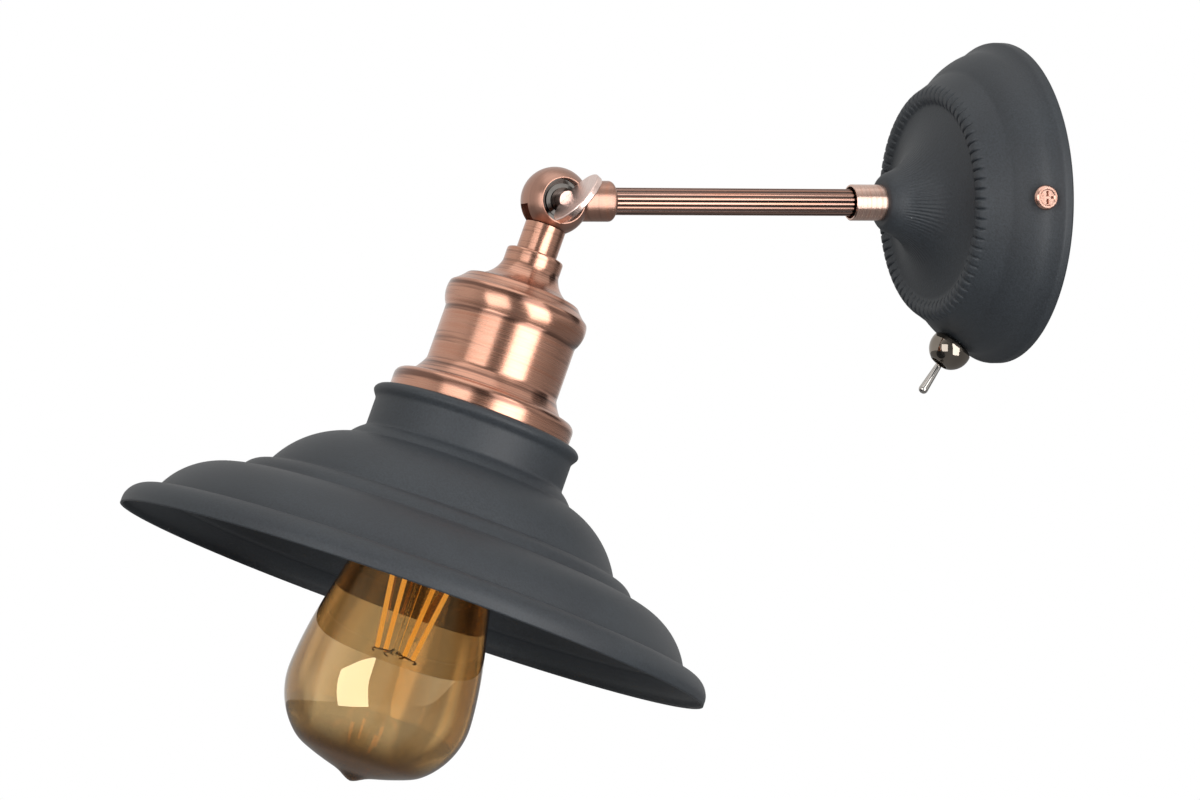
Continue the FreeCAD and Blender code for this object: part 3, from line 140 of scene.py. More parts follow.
def linear(code: str) -> tuple[float, float, float, float]:
    """Turns an sRGB hex colour into linear red, green, blue and alpha.

    Args:
        code: A colour such as "#b87a5f".

    Returns:
        Four numbers from 0 to 1.
    """
    shares = [int(code[i:i + 2], 16) / 255 for i in (1, 3, 5)]
    red, green, blue = (s / 12.92 if s <= 0.04045 else ((s + 0.055) / 1.055) ** 2.4 for s in shares)
    return red, green, blue, 1.0


def often(pitch: float) -> float:
    """How often a pitch in millimetres fits into a metre."""
    return 1 / (pitch * MM)


class Nodes:
    """One node tree, and short ways to add what the finishes use most."""

    def __init__(self, tree: NodeTree) -> None:
        """Keeps the tree and empties it."""
        self.tree = tree
        tree.nodes.clear()

    def add(self, kind: str, inputs: dict | None = None, **settings) -> Node:
        """Adds one node with its settings, values and links.

        Args:
            kind: The node's type name after "ShaderNode".
            inputs: What goes into each input, by name or number.
            **settings: The node's own settings.

        Returns:
            The new node.
        """
        node = self.tree.nodes.new(f"ShaderNode{kind}")
        for name, value in settings.items():
            setattr(node, name, value)
        self.feed(node, inputs or {})
        return node

    def feed(self, node: Node, inputs: dict) -> None:
        """Gives a node's inputs their values and links.

        Args:
            node: The node that takes them.
            inputs: A value, or a socket to link, for each input by name or number.
        """
        for name, value in inputs.items():
            if isinstance(value, Socket):
                self.tree.links.new(value, node.inputs[name])
            else:
                node.inputs[name].default_value = value

    def here(self) -> Socket:
        """The shaded point in the row frame."""
        return self.add("TexCoord").outputs["Object"]

    def own(self, place: Place) -> Socket:
        """The shaded point in a sub-assembly's frame."""
        return self.add("Mapping", {
            "Vector": self.here(), "Location": place.origin, "Rotation": place.turn},
            vector_type="TEXTURE").outputs[0]

    def math(self, operation: str, *values: float | Socket) -> Socket:
        """Adds one sum, such as "ADD", of numbers and sockets."""
        return self.add("Math", dict(enumerate(values)), operation=operation).outputs[0]

    def apart(self, height: Socket, level: float) -> Socket:
        """How far a height is from a level in millimetres, either way."""
        return self.math("ABSOLUTE", self.math("SUBTRACT", height, level * MM))

    def ramp(self, value: Socket, start: float, end: float, low: float = 0.0, high: float = 1.0,
             smooth: bool = False) -> Socket:
        """Turns one range of a value into another, and holds it at both ends.

        Args:
            value: What is turned.
            start: The value that gives `low`.
            end: The value that gives `high`.
            low: The result at the start.
            high: The result at the end.
            smooth: Whether both ends are eased.

        Returns:
            The socket with the result.
        """
        return self.add("MapRange", {
            "Value": value, "From Min": start, "From Max": end, "To Min": low, "To Max": high},
            interpolation_type="SMOOTHSTEP" if smooth else "LINEAR").outputs["Result"]

    def noise(self, vector: Socket, scale: float | Triple, detail: float, roughness: float = 0.5) -> Socket:
        """Adds clouds, or streaks where the scale differs from way to way.

        Args:
            vector: The point.
            scale: How many clouds there are in a metre, all ways or each way.
            detail: How many finer layers they have.
            roughness: How strong those layers are.

        Returns:
            The socket with the clouds, from 0 to 1.
        """
        if isinstance(scale, tuple):
            vector = self.add("VectorMath", {0: vector, 1: scale}, operation="MULTIPLY").outputs[0]
            scale = 1.0
        return self.add("TexNoise", {
            "Vector": vector, "Scale": scale, "Detail": detail, "Roughness": roughness}).outputs["Fac"]

    def mix(self, share: float | Socket, first: str | Socket, second: str | Socket,
            blend: str = "MIX") -> Socket:
        """Mixes two colours.

        Args:
            share: How much of the second is taken.
            first: A hex colour or a socket.
            second: A hex colour or a socket.
            blend: How they mix.

        Returns:
            The socket with the mixed colour.
        """
        first, second = (linear(tone) if isinstance(tone, str) else tone for tone in (first, second))
        return self.add("Mix", {0: share, 6: first, 7: second}, data_type="RGBA", blend_type=blend).outputs[2]

    def bump(self, height: Socket, strength: float, distance: float) -> Socket:
        """The normal over small heights whose full rise is a distance in millimetres."""
        return self.add("Bump", {
            "Strength": strength, "Distance": distance * MM, "Height": height}).outputs["Normal"]


# Finishes


@dataclass(frozen=True)
class Finish(ABC):
    """What every finish has: a name, a base colour and how it shines."""

    name: str
    colour: str
    roughness: float
    metallic: float = 0.0

    def material(self) -> Material:
        """Makes the material, with its one shader and what `paint` adds to it."""
        material = bpy.data.materials.new(self.name)
        material.use_nodes = True
        nodes = Nodes(material.node_tree)
        shader = nodes.add("BsdfPrincipled", {
            "Base Color": linear(self.colour), "Roughness": self.roughness, "Metallic": self.metallic})
        nodes.add("OutputMaterial", {"Surface": shader.outputs[0]})
        self.paint(nodes, shader)
        return material

    @abstractmethod
    def paint(self, nodes: Nodes, shader: Node) -> None:
        """Adds the pattern of this finish to the material's nodes and feeds it to the shader."""


@dataclass(frozen=True)
class PowderCoat(Finish):
    """Anthracite polyester powder on steel, sprayed and stoved.

    It is matt and finely dimpled like fine sand, darker in wide clouds, with rare dust.
    """

    second: str = field(kw_only=True)
    cloud: float = 38.0
    clouding: Point = (0.35, 0.65)
    grain: float = 0.7      # the real dimples are 0.2 mm; drawn coarser so that they show
    bump: float = 0.08
    sparkle: Fade = (0.3, 0.7, 0.7, 1.35)       # how dark and how light a dimple makes the coat
    uneven: float = 0.1
    gloss: float = 0.55
    dust: str = "#77797a"
    dust_pitch: float = 11.0
    dust_size: float = 0.22
    dust_rarity: float = 0.8

    def paint(self, nodes: Nodes, shader: Node) -> None:
        """Adds clouds of two tones, dimples, and specks of dust."""
        here = nodes.here()
        clouds = nodes.ramp(nodes.noise(here, often(self.cloud), 2.0), *self.clouding)
        coat = nodes.mix(clouds, self.colour, self.second)
        dimples = nodes.noise(here, often(self.grain), 3.0, 0.6)
        grained = nodes.mix(1.0, coat, nodes.ramp(dimples, *self.sparkle), "MULTIPLY")
        cells = nodes.add("TexVoronoi", {"Vector": here, "Scale": often(self.dust_pitch)})
        near = nodes.math("LESS_THAN", cells.outputs["Distance"], self.dust_size / self.dust_pitch)
        chance = nodes.add("SeparateColor", {"Color": cells.outputs["Color"]}).outputs["Red"]
        speck = nodes.math("MULTIPLY", near, nodes.math("GREATER_THAN", chance, self.dust_rarity))
        nodes.feed(shader, {
            "Base Color": nodes.mix(speck, grained, self.dust),
            "Roughness": nodes.ramp(
                dimples, 0.0, 1.0, self.roughness - self.uneven, self.roughness + self.uneven),
            "Normal": nodes.bump(dimples, 1.0, self.bump),
            "Specular IOR Level": self.gloss,
        })


@dataclass(frozen=True)
class BrushedMetal(Finish):
    """A plated metal brushed in one direction about its axis, with an antique patina.

    The fine lines spread each reflection across them into a band, and the patina lies in brown
    streaks along them. Lacquer over it keeps the bands bright.
    """

    metallic: float = 1.0
    place: Place = PLACES["plate"]
    lines: Grain = Grain.ROUND
    pitch: float = 0.1      # real brush lines are 0.05 mm apart; drawn coarser so that they show
    streak: float = 1.9
    reach: float = 60.0
    depth: float = 0.01
    uneven: Point = (-0.06, 0.08)           # how the lines change the roughness
    wipe: Fade = (0.3, 0.7, 0.95, 1.04)     # how they change the lightness
    spread: float = 0.75
    glow: Fade = (0.46, 0.3, 0.0, 0.55)     # how strongly the metal glows between the streaks
    glow_colour: str = "#c58468"
    patina: float = 0.75
    patina_reach: Point = (0.52, 0.72)
    patina_colour: str = "#4f3027"
    stains: tuple[Point, ...] = ()          # where along the axis patina gathers, and how far it spreads
    stain: float = 0.16
    groove: Point | None = None             # radii between which the grooves go from dark to bare
    groove_colour: str = "#1d120e"
    lacquer: float = 0.4
    lacquer_roughness: float = 0.2

    def paint(self, nodes: Nodes, shader: Node) -> None:
        """Adds brush lines, streaks of patina and the brushed spread of the highlights."""
        own = nodes.own(self.place)
        x, y, z = nodes.add("SeparateXYZ", {"Vector": own}).outputs
        flat = nodes.add("CombineXYZ", {"X": x, "Y": y}).outputs[0]
        radius = nodes.add("VectorMath", {0: flat}, operation="LENGTH").outputs["Value"]
        across, scales = own, [
            (often(pitch), often(pitch), often(self.reach)) for pitch in (self.pitch, self.streak)]
        if self.lines is Grain.ROUND:
            run = nodes.math("ADD", z, radius)
            across = nodes.add("CombineXYZ", {"X": x, "Y": y, "Z": run}).outputs[0]
            scales = [(long, long, narrow) for narrow, _, long in scales]
        brush = nodes.noise(across, scales[0], 3.0, 0.65)
        streaks = nodes.noise(across, scales[1], 4.0, 0.6)
        metal = nodes.mix(nodes.ramp(streaks, *self.glow), self.colour, self.glow_colour)
        dark = nodes.ramp(self.gather(nodes, z, streaks), *self.patina_reach, 0.0, self.patina)
        metal = nodes.mix(dark, metal, self.patina_colour)
        metal = nodes.mix(1.0, metal, nodes.ramp(brush, *self.wipe), "MULTIPLY")
        if self.groove:
            deep = nodes.ramp(radius, self.groove[0] * MM, self.groove[1] * MM, 1.0, 0.0)
            metal = nodes.mix(deep, metal, self.groove_colour)
        smoother, rougher = (self.roughness + change for change in self.uneven)
        nodes.feed(shader, {
            "Base Color": metal,
            "Roughness": nodes.ramp(brush, 0.25, 0.75, smoother, rougher),
            "Normal": nodes.bump(brush, 0.35, self.depth),
            "Tangent": self.comb(nodes, x, y),
            "Anisotropic": self.spread,
            "Anisotropic Rotation": 0.25,
            "Coat Weight": self.lacquer,
            "Coat Roughness": self.lacquer_roughness,
        })

    def gather(self, nodes: Nodes, height: Socket, streaks: Socket) -> Socket:
        """Adds to the streaks where patina gathers, in the creases of a spun piece.

        Args:
            nodes: The material's nodes.
            height: The point's place along the axis.
            streaks: The streaks' pattern.

        Returns:
            The pattern with its gathering places.
        """
        for level, spread in self.stains:
            share = nodes.ramp(nodes.apart(height, level), 0.0, spread * MM, self.stain, 0.0)
            streaks = nodes.math("ADD", streaks, share)
        return streaks

    def comb(self, nodes: Nodes, x: Socket, y: Socket) -> Socket:
        """Lays the tangent along the brush lines, so that highlights spread across them.

        Args:
            nodes: The material's nodes.
            x: The point's first place in the sub-assembly's frame.
            y: Its second.

        Returns:
            The socket with the tangent.
        """
        way = {"Z": 1.0}
        if self.lines is Grain.ROUND:
            way = {"X": nodes.math("MULTIPLY", y, -1.0), "Y": x}
        line = nodes.add("CombineXYZ", way).outputs[0]
        turned = nodes.add("Mapping", {"Vector": line, "Rotation": self.place.turn}, vector_type="NORMAL")
        return nodes.add("VectorTransform", {"Vector": turned.outputs[0]}, vector_type="VECTOR",
                         convert_from="OBJECT", convert_to="WORLD").outputs[0]


@dataclass(frozen=True)
class PlatedMetal(Finish):
    """A smooth plated or turned metal, with faint wipe marks and a slight change of tone."""

    metallic: float = 1.0
    second: str = field(kw_only=True)
    tone: float = 9.0
    tones: Fade = (0.4, 0.7, 0.0, 0.6)
    marks: float = 1.2
    uneven: float = 0.02

    def paint(self, nodes: Nodes, shader: Node) -> None:
        """Adds two tones and wipe marks."""
        here = nodes.here()
        tones = nodes.ramp(nodes.noise(here, often(self.tone), 2.0), *self.tones)
        marks = nodes.noise(here, often(self.marks), 4.0, 0.7)
        nodes.feed(shader, {
            "Base Color": nodes.mix(tones, self.colour, self.second),
            "Roughness": nodes.ramp(
                marks, 0.3, 0.7, self.roughness - self.uneven, self.roughness + self.uneven),
        })


@dataclass(frozen=True)
class Moulded(Finish):
    """Moulded plastic or fired ceramic: even, with a fine skin that breaks the gloss."""

    second: str = field(kw_only=True)
    skin: float = 0.4
    bump: float = 0.02

    def paint(self, nodes: Nodes, shader: Node) -> None:
        """Adds a fine skin and a slight change of tone."""
        skin = nodes.noise(nodes.here(), often(self.skin), 2.0)
        nodes.feed(shader, {
            "Base Color": nodes.mix(skin, self.colour, self.second),
            "Normal": nodes.bump(skin, 0.6, self.bump),
        })


@dataclass(frozen=True)
class Glass(Finish):
    """Blown or drawn glass, clear or stained through, faintly uneven in its thickness."""

    index: float = 1.5
    wave: float = 16.0
    unevenness: float = 0.05

    def paint(self, nodes: Nodes, shader: Node) -> None:
        """Lets light through and adds the slow waves that blowing leaves."""
        waves = nodes.noise(nodes.here(), often(self.wave), 1.0)
        nodes.feed(shader, {
            "Normal": nodes.bump(waves, 0.5, self.unevenness),
            "Transmission Weight": 1.0,
            "IOR": self.index,
        })


@dataclass(frozen=True)
class LustreGlass(Glass):
    """Glass with a thin amber metal lustre, and painted reflections in brown and pale streaks along the bulb.

    It has a painted highlight round its widest part, and painted shade at the bottom and where it slants away
    from the eye.
    """

    place: Place = PLACES["head"]
    # colour of the painted shade and of the dark painted reflections
    dark: str = "#452a12"
    # colour of the pale painted reflections and of the painted highlight
    pale: str = "#f0d8a8"
    sheen: str = "#e0bf92"
    streak: float = 13.0
    length: float = 110.0
    # ranges of the streaks that take the dark and the pale painted reflections
    brown: Fade = (0.5, 0.64, 0.0, 0.75)
    painted_cream_streaks: Fade = (0.52, 0.38, 0.0, 0.85)
    clearness_under_painted_cream: float = 0.82                      # how clear the glass stays under the pale painted reflections
    foot: Point = (187.0, 199.0)            # heights between which painted shade darkens the bottom
    foot_painted_shade: float = 0.97
    painted_belly_highlight: Point = (181.0, 11.0)            # height of the painted highlight round the widest part, and how far it spreads
    belly_highlight_strength: float = 0.6
    edge: Point = (0.6, 0.84)               # slants between which painted shade darkens the edge
    painted_edge_clearness: Fade = (0.4, 1.0, 1.0, 0.3)
    skin: float = 0.5
    skin_roughness: float = 0.02

    def paint(self, nodes: Nodes, shader: Node) -> None:
        """Adds the painted reflections in streaks, the painted highlight, and painted shade at the bottom and
        the edges.
        """
        super().paint(nodes, shader)
        own = nodes.own(self.place)
        height = nodes.add("SeparateXYZ", {"Vector": own}).outputs["Z"]
        streaks = nodes.noise(own, (often(self.streak), often(self.streak), often(self.length)), 1.5, 0.4)
        # painted reflections, in dark and pale streaks
        brown = nodes.ramp(streaks, *self.brown, smooth=True)
        painted_cream_streaks = nodes.ramp(streaks, *self.painted_cream_streaks, smooth=True)
        # painted highlight round the widest part, and painted shade at the bottom and at slanting edges
        level, spread = self.painted_belly_highlight
        painted_belly_highlight = nodes.ramp(nodes.apart(height, level), 0.0, spread * MM, self.belly_highlight_strength, 0.0, smooth=True)
        foot = nodes.ramp(height, self.foot[0] * MM, self.foot[1] * MM, 0.0, self.foot_painted_shade, smooth=True)
        slant = nodes.add("LayerWeight", {"Blend": 0.5}).outputs["Facing"]
        edge = nodes.ramp(slant, *self.edge, smooth=True)
        deep = nodes.math("MAXIMUM", nodes.math("MAXIMUM", foot, edge), brown)
        light = nodes.mix(nodes.math("MAXIMUM", painted_cream_streaks, painted_belly_highlight), self.colour, self.pale)
        clear = nodes.ramp(edge, *self.painted_edge_clearness)
        painted_cream_clearness = nodes.ramp(painted_cream_streaks, 0.0, 1.0, 1.0, self.clearness_under_painted_cream)
        nodes.feed(shader, {
            "Base Color": nodes.mix(deep, light, self.dark),
            "Transmission Weight": nodes.math("MULTIPLY", clear, painted_cream_clearness),
            "Specular Tint": linear(self.sheen),
            "Coat Weight": self.skin,
            "Coat Roughness": self.skin_roughness,
        })


@dataclass(frozen=True)
class Phosphor(Finish):
    """Silicone with orange phosphor round an unlit filament; its glow is painted light."""

    # colour of the painted glow
    glow: str = field(kw_only=True)
    # strength of the painted glow
    strength: float = 1.1
    grain: float = 0.5

    def paint(self, nodes: Nodes, shader: Node) -> None:
        """Adds the lumps of the coating and a painted glow."""
        lumps = nodes.noise(nodes.here(), often(self.grain), 2.0)
        mixed = nodes.mix(lumps, self.colour, self.glow)
        # the emission is a painted glow, as the filament is unlit
        nodes.feed(shader, {
            "Base Color": mixed, "Emission Color": mixed, "Emission Strength": self.strength})


@dataclass(frozen=True)
class Finishes:
    """Every finish of the lamp."""

    coat: Finish = PowderCoat("powder_coated_steel", "#292e33", 0.55, second="#25292e")
    head_copper: Finish = BrushedMetal("antique_copper_spun", "#cf9a82", 0.25, place=PLACES["head"], stains=(
        (25.5, 2.5), (32.5, 2.5), (38.5, 2.0), (46.5, 2.0), (66.5, 3.5), (73.5, 2.5)))
    # The ball takes a darker copy of the copper: painted shade for how the light falls on it.
    ball_copper_painted_shade: Finish = BrushedMetal(
        "antique_copper_ball_painted_shade", "#b38876", 0.33, place=PLACES["pivot"], patina=0.4, spread=0.3)
    # The sleeve nut takes a lighter copy of the copper: a painted highlight.
    ferrule_copper_painted_highlight: Finish = BrushedMetal("antique_copper_turned_painted_highlight", "#e6c2b2", 0.25, patina=0.3)
    # The arm takes a darker copy of the copper: painted shade.
    arm_copper_painted_shade: Finish = BrushedMetal(
        "antique_copper_drawn_painted_shade", "#b08878", 0.14, lines=Grain.ALONG, patina=0.5, groove=(4.49, 4.71))
    # The coin takes a lighter copy of the copper: a painted highlight.
    coin_copper_painted_highlight: Finish = BrushedMetal(
        "antique_copper_pressed_painted_highlight", "#f2d6cc", 0.28, place=PLACES["pivot"], patina=0.4, spread=0.2)
    screw_copper: Finish = PlatedMetal("copper_plated_screw", "#e0b6a5", 0.2, second="#c99481", tone=2.5)
    nickel: Finish = PlatedMetal("black_nickel_plate", "#958c82", 0.06, second="#7b7269")
    washer_nickel: Finish = PlatedMetal("black_nickel_washer", "#4a4744", 0.12, second="#2e2c2b")
    chrome: Finish = PlatedMetal("chrome_plate", "#c4c0bb", 0.1, second="#b2aea9")
    zinc: Finish = PlatedMetal("zinc_plated_steel", "#b9bbbc", 0.34, second="#a3a59e", tone=5.0)
    brass: Finish = PlatedMetal("turned_brass", "#d0a95c", 0.25, second="#b58f49")
    cap: Finish = PlatedMetal("nickelled_brass_cap", "#c9c2b4", 0.22, second="#b0a898")
    wire: Finish = PlatedMetal("gilt_support_wire", "#9a7443", 0.3, second="#6b4c2a")
    plastic: Finish = Moulded("black_moulded_resin", "#1c1c1d", 0.45, second="#252526")
    ceramic: Finish = Moulded("white_fired_ceramic", "#e8e4da", 0.3, second="#dcd7cb")
    dark_glass: Finish = Moulded("black_insulating_glass", "#141315", 0.12, second="#1c1a1d", bump=0.005)
    clear_glass: Finish = Glass("clear_drawn_glass", "#f4f4f0", 0.0)
    amber: Finish = LustreGlass("amber_lustre_glass_painted_reflections", "#d8b67f", 0.01, metallic=0.28, index=1.6)
    amber_inside: Finish = Glass("amber_glass_inside", "#f0d9b4", 0.0)
    phosphor: Finish = Phosphor("orange_phosphor_painted_glow", "#ffa93a", 0.5, glow="#ffcf73")


@dataclass
class Workshop:
    """Keeps one material for each finish, so that pieces alike share it."""

    made: dict[str, Material] = field(default_factory=dict)

    def material(self, finish: Finish) -> Material:
        """The finish's material, made when it is first asked for."""
        if finish.name not in self.made:
            self.made[finish.name] = finish.material()
        return self.made[finish.name]

    def dress(self, finish: Finish, *nodes: str) -> None:
        """Gives carried-over pieces a finish in place of their plain colour."""
        for node in nodes:
            mesh = frame["nodes"][node].data
            mesh.materials.clear()
            mesh.materials.append(self.material(finish))
            LOG.info("%s: carried over, %s", node, finish.name)


# Outlines and meshes


def arc(start: Point, end: Point, crown: float, step: float) -> list[Point]:
    """Points after the start, up to the end, along an arc or a straight line.

    Args:
        start: Radius and height where the stretch begins.
        end: Radius and height where it ends.
        crown: How far its middle stands from the chord, away from the axis if positive.
        step: The longest distance between two points.

    Returns:
        The points, the end among them.
    """
    across, along = end[0] - start[0], end[1] - start[1]
    chord = math.hypot(across, along)
    count = max(1, math.ceil(chord / step))
    normal = (-along / chord, across / chord)
    if normal[0] < 0 or (along == 0 and normal[1] < 0):
        normal = (-normal[0], -normal[1])
    half = 2 * math.atan2(2 * abs(crown), chord)
    points = []
    for i in range(1, count + 1):
        run, lift = i / count, 0.0
        if crown:
            turn = half * (2 * run - 1)
            run = (math.sin(turn) / math.sin(half) + 1) / 2
            lift = math.copysign(chord / 2 / math.sin(half) * (math.cos(turn) - math.cos(half)), crown)
        points.append((start[0] + run * across + lift * normal[0],
                       start[1] + run * along + lift * normal[1]))
    return points


def outline(stations: Sequence[Station], step: float, passes: int = 1) -> list[Point]:
    """Draws an outline through its stations and eases the creases between them.

    Args:
        stations: Radius, height and the crown of the stretch that ends there, in millimetres.
        step: The longest distance between two points.
        passes: How often each point is drawn halfway towards the middle of its neighbours.

    Returns:
        The points, with both ends as given.
    """
    points = [stations[0][:2]]
    for radius, height, crown in stations[1:]:
        points += arc(points[-1], (radius, height), crown, step)
    for _ in range(passes):
        middles = [((a[0] + 2 * b[0] + c[0]) / 4, (a[1] + 2 * b[1] + c[1]) / 4)
                   for a, b, c in zip(points, points[1:], points[2:])]
        points = [points[0], *middles, points[-1]]
    return points


def spun(line: Sequence[Point], steps: int, core: float) -> BMesh:
    """Spins an outline about +Z into a skin whose faces look away from a point on the axis.

    Args:
        line: Radius and height of each point, in millimetres.
        steps: How many faces go round.
        core: Height of a point on the axis that lies inside.

    Returns:
        The skin, in metres.
    """
    skin = bmesh.new()
    corners = [skin.verts.new((radius * MM, 0, height * MM)) for radius, height in line]
    edges = [skin.edges.new(pair) for pair in zip(corners, corners[1:])]
    bmesh.ops.spin(skin, geom=corners + edges, cent=(0, 0, 0), axis=(0, 0, 1), angle=2 * math.pi,
                   steps=steps, use_merge=True)
    bmesh.ops.remove_doubles(skin, verts=skin.verts, dist=0.0001 * MM)
    bmesh.ops.recalc_face_normals(skin, faces=skin.faces)
    inside = Vector((0, 0, core * MM))
    outwards = sum(face.normal.dot(face.calc_center_median() - inside) for face in skin.faces)
    if outwards < 0:
        bmesh.ops.reverse_faces(skin, faces=skin.faces)
    skin.normal_update()
    return skin


def linked(name: str, data: ID) -> Object:
    """Makes an object of its data and links it to the scene."""
    made = bpy.data.objects.new(name, data)
    bpy.context.scene.collection.objects.link(made)
    return made


def meshed(name: str, drawn: BMesh) -> Object:
    """Makes an object of a drawn mesh, which is used up."""
    mesh = bpy.data.meshes.new(name)
    drawn.to_mesh(mesh)
    drawn.free()
    return linked(name, mesh)


@dataclass
class Piece:
    """A new piece on its way from a mesh to its body."""

    name: str
    place: Place
    body: Body
    slot: Slot
    finishes: tuple[Finish, ...]
    replaces: tuple[str, ...]
    crease: float = 40.0

    def build(self, skin: BMesh, workshop: Workshop, wall: float = 0.0) -> Object:
        """Puts a mesh in its place, smooths it, gives it its wall and finish, and lets it ride.

        Args:
            skin: The mesh in the sub-assembly's frame, in metres; it is used up.
            workshop: Where the materials come from.
            wall: Thickness added behind the faces, in millimetres.

        Returns:
            The new object.
        """
        skin.transform(self.place.matrix)
        piece = meshed(self.name, skin)
        mesh = piece.data
        mesh.shade_smooth()
        mesh.set_sharp_from_angle(angle=math.radians(self.crease))
        for finish in self.finishes:
            mesh.materials.append(workshop.material(finish))
        if wall:
            modifier = piece.modifiers.new("wall", "SOLIDIFY")
            modifier.thickness = wall * MM
            modifier.offset = -1
            modifier.use_even_offset = True
            modifier.material_offset = len(self.finishes) - 1
        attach(piece, self.body.value)
        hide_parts(*self.replaces)
        LOG.info("%s: new piece on %s, %d faces", self.name, self.body.value, len(mesh.polygons))
        return piece


def cut(piece: Object, cutters: Sequence[Object]) -> None:
    """Cuts holes through a piece and makes its modifiers final.

    Args:
        piece: The piece that is cut.
        cutters: Closed objects to cut with; they are removed afterwards.
    """
    for cutter in cutters:
        hole = piece.modifiers.new("hole", "BOOLEAN")
        hole.operation = "DIFFERENCE"
        hole.solver = "EXACT"
        hole.object = cutter
    settled = piece.evaluated_get(bpy.context.evaluated_depsgraph_get())
    final = bpy.data.meshes.new_from_object(settled)
    old = piece.data
    piece.modifiers.clear()
    piece.data = final
    final.name = old.name
    bpy.data.meshes.remove(old)
    for cutter in cutters:
        bpy.data.objects.remove(cutter)


def drill(radius: float, length: float, matrix: Matrix) -> Object:
    """A round cutter centred on a frame's origin and lying along its Z.

    Args:
        radius: Its radius in millimetres.
        length: Its length in millimetres.
        matrix: Its frame, in the row frame.

    Returns:
        The cutter as an object.
    """
    rod = bmesh.new()
    bmesh.ops.create_cone(rod, cap_ends=True, segments=48, radius1=radius * MM, radius2=radius * MM,
                          depth=length * MM, matrix=matrix)
    return meshed("drill", rod)


def ease(share: float) -> float:
    """Goes smoothly from 0 to 1 as the share does."""
    share = min(max(share, 0.0), 1.0)
    return share * share * (3 - 2 * share)


# Sub-assemblies


@dataclass
class Assembly:
    """One sub-assembly of the lamp."""

    finishes: Finishes

    def build(self, workshop: Workshop) -> None:
        """Makes its new pieces, if it has any, with the workshop's materials."""

    def dress(self, workshop: Workshop) -> None:
        """Has the workshop dress its carried-over pieces, if it has any."""


@dataclass
class WallPlate(Assembly):
    """The pressed steel plate, with its fluted bead and the fine pleats round its boss."""

    place: Place = PLACES["plate"]
    wall: float = 1.0
    step: float = 0.7
    core: float = 0.0
    rim: Point = (56.3, 3.0)
    lip: Point = (1.0, -0.35)           # how far it is drawn in, and its crown
    shoulder_foot: Station = (52.8, 8.7, 0.9)
    shoulder_top: Station = (45.9, 17.9, 0)
    bead_outer: Station = (41.2, 25.1, 2.2)
    bead_inner: Station = (34.3, 26.0, -0.6)
    dish_inner: Station = (20.9, 30.4, -1.4)
    nose: Triple = (8.2, 10.8, 45.6)
    nose_edge: Point = (3.2, 0.4)
    arm_hole: float = 5.1
    flutes: int = 72
    flute_steps: int = 10
    flute_width: float = 1.15
    flute_depth: float = 0.75
    flute_ends: float = 0.35
    pleat_depth: float = 0.24
    pleat_uneven: float = 0.35
    pleat_rise: float = 2.0
    pleat_end: float = 25.0
    screw_hole: float = 2.4
    screw_depth: float = 9.9
    switch_hole: float = 3.15
    switch_drill: float = 30.0

    def line(self) -> list[Station]:
        """The outer line from the arm's hole to the wall."""
        flat, side, depth = self.nose
        drop, round_crown = self.nose_edge
        rim, level = self.rim
        inset, lip_crown = self.lip
        return [
            (self.arm_hole, depth, 0), (flat, depth, 0), (side, depth - drop, round_crown),
            self.dish_inner, self.bead_inner, self.bead_outer, self.shoulder_top, self.shoulder_foot,
            (rim - inset, level + inset, lip_crown), (rim, level, 0), (rim, 0, 0),
        ]

    def relief(self, radius: float, angle: float) -> float:
        """How deep the flutes and pleats are pressed at a point of the plate.

        Args:
            radius: Distance from the axis in millimetres.
            angle: Angle about the axis in radians.

        Returns:
            The depth in millimetres.
        """
        period = 2 * math.pi / self.flutes
        inner, outer = self.bead_inner[0], self.bead_outer[0]
        if inner < radius < outer:
            off = abs((angle / period + 0.5) % 1.0 - 0.5) * period * radius
            reach = math.sin(math.pi * (radius - inner) / (outer - inner)) ** self.flute_ends
            return self.flute_depth * reach * (1 - ease(off / (self.flute_width / 2)))
        start = self.nose[1]
        if start < radius < self.pleat_end:
            rise = ease((radius - start) / self.pleat_rise)
            fade = 1 - ease((radius - start) / (self.pleat_end - start))
            uneven = 1 - self.pleat_uneven + self.pleat_uneven * math.sin(3 * angle + 1.2)
            wave = (1 + math.cos(2 * math.pi * angle / period)) / 2
            return self.pleat_depth * uneven * rise * fade * wave
        return 0.0

    def build(self, workshop: Workshop) -> None:
        """Makes the plate and cuts its holes for the side screws and the switch."""
        skin = spun(outline(self.line(), self.step), self.flutes * self.flute_steps, self.core)
        for vertex in skin.verts:
            radius = math.hypot(vertex.co.x, vertex.co.y) / MM
            depth = self.relief(radius, math.atan2(vertex.co.y, vertex.co.x))
            if depth:
                vertex.co -= vertex.normal * (depth * MM)
        piece = Piece("pressed_plate", self.place, Body.ROOT, Slot.POWDER, (self.finishes.coat,),
                      ("wall_plate",)).build(skin, workshop, self.wall)
        across = Matrix.Translation((0, -self.screw_depth * MM, 0)) @ Matrix.Rotation(math.pi / 2, 4, "Y")
        cut(piece, [drill(self.screw_hole, 4 * self.rim[0], across),
                    drill(self.switch_hole, self.switch_drill, PLACES["switch"].matrix)])

    def dress(self, workshop: Workshop) -> None:
        """Dresses what is screwed to the plate."""
        look = self.finishes
        workshop.dress(look.zinc, "wall_bracket", "earth_washer", "arm_lock_nut", "arm_tooth_washer",
                       "terminal_screws")
        workshop.dress(look.brass, "terminal_barrels", "earth_screw")
        workshop.dress(look.plastic, "terminal_block")
        workshop.dress(look.screw_copper, "cover_screws")


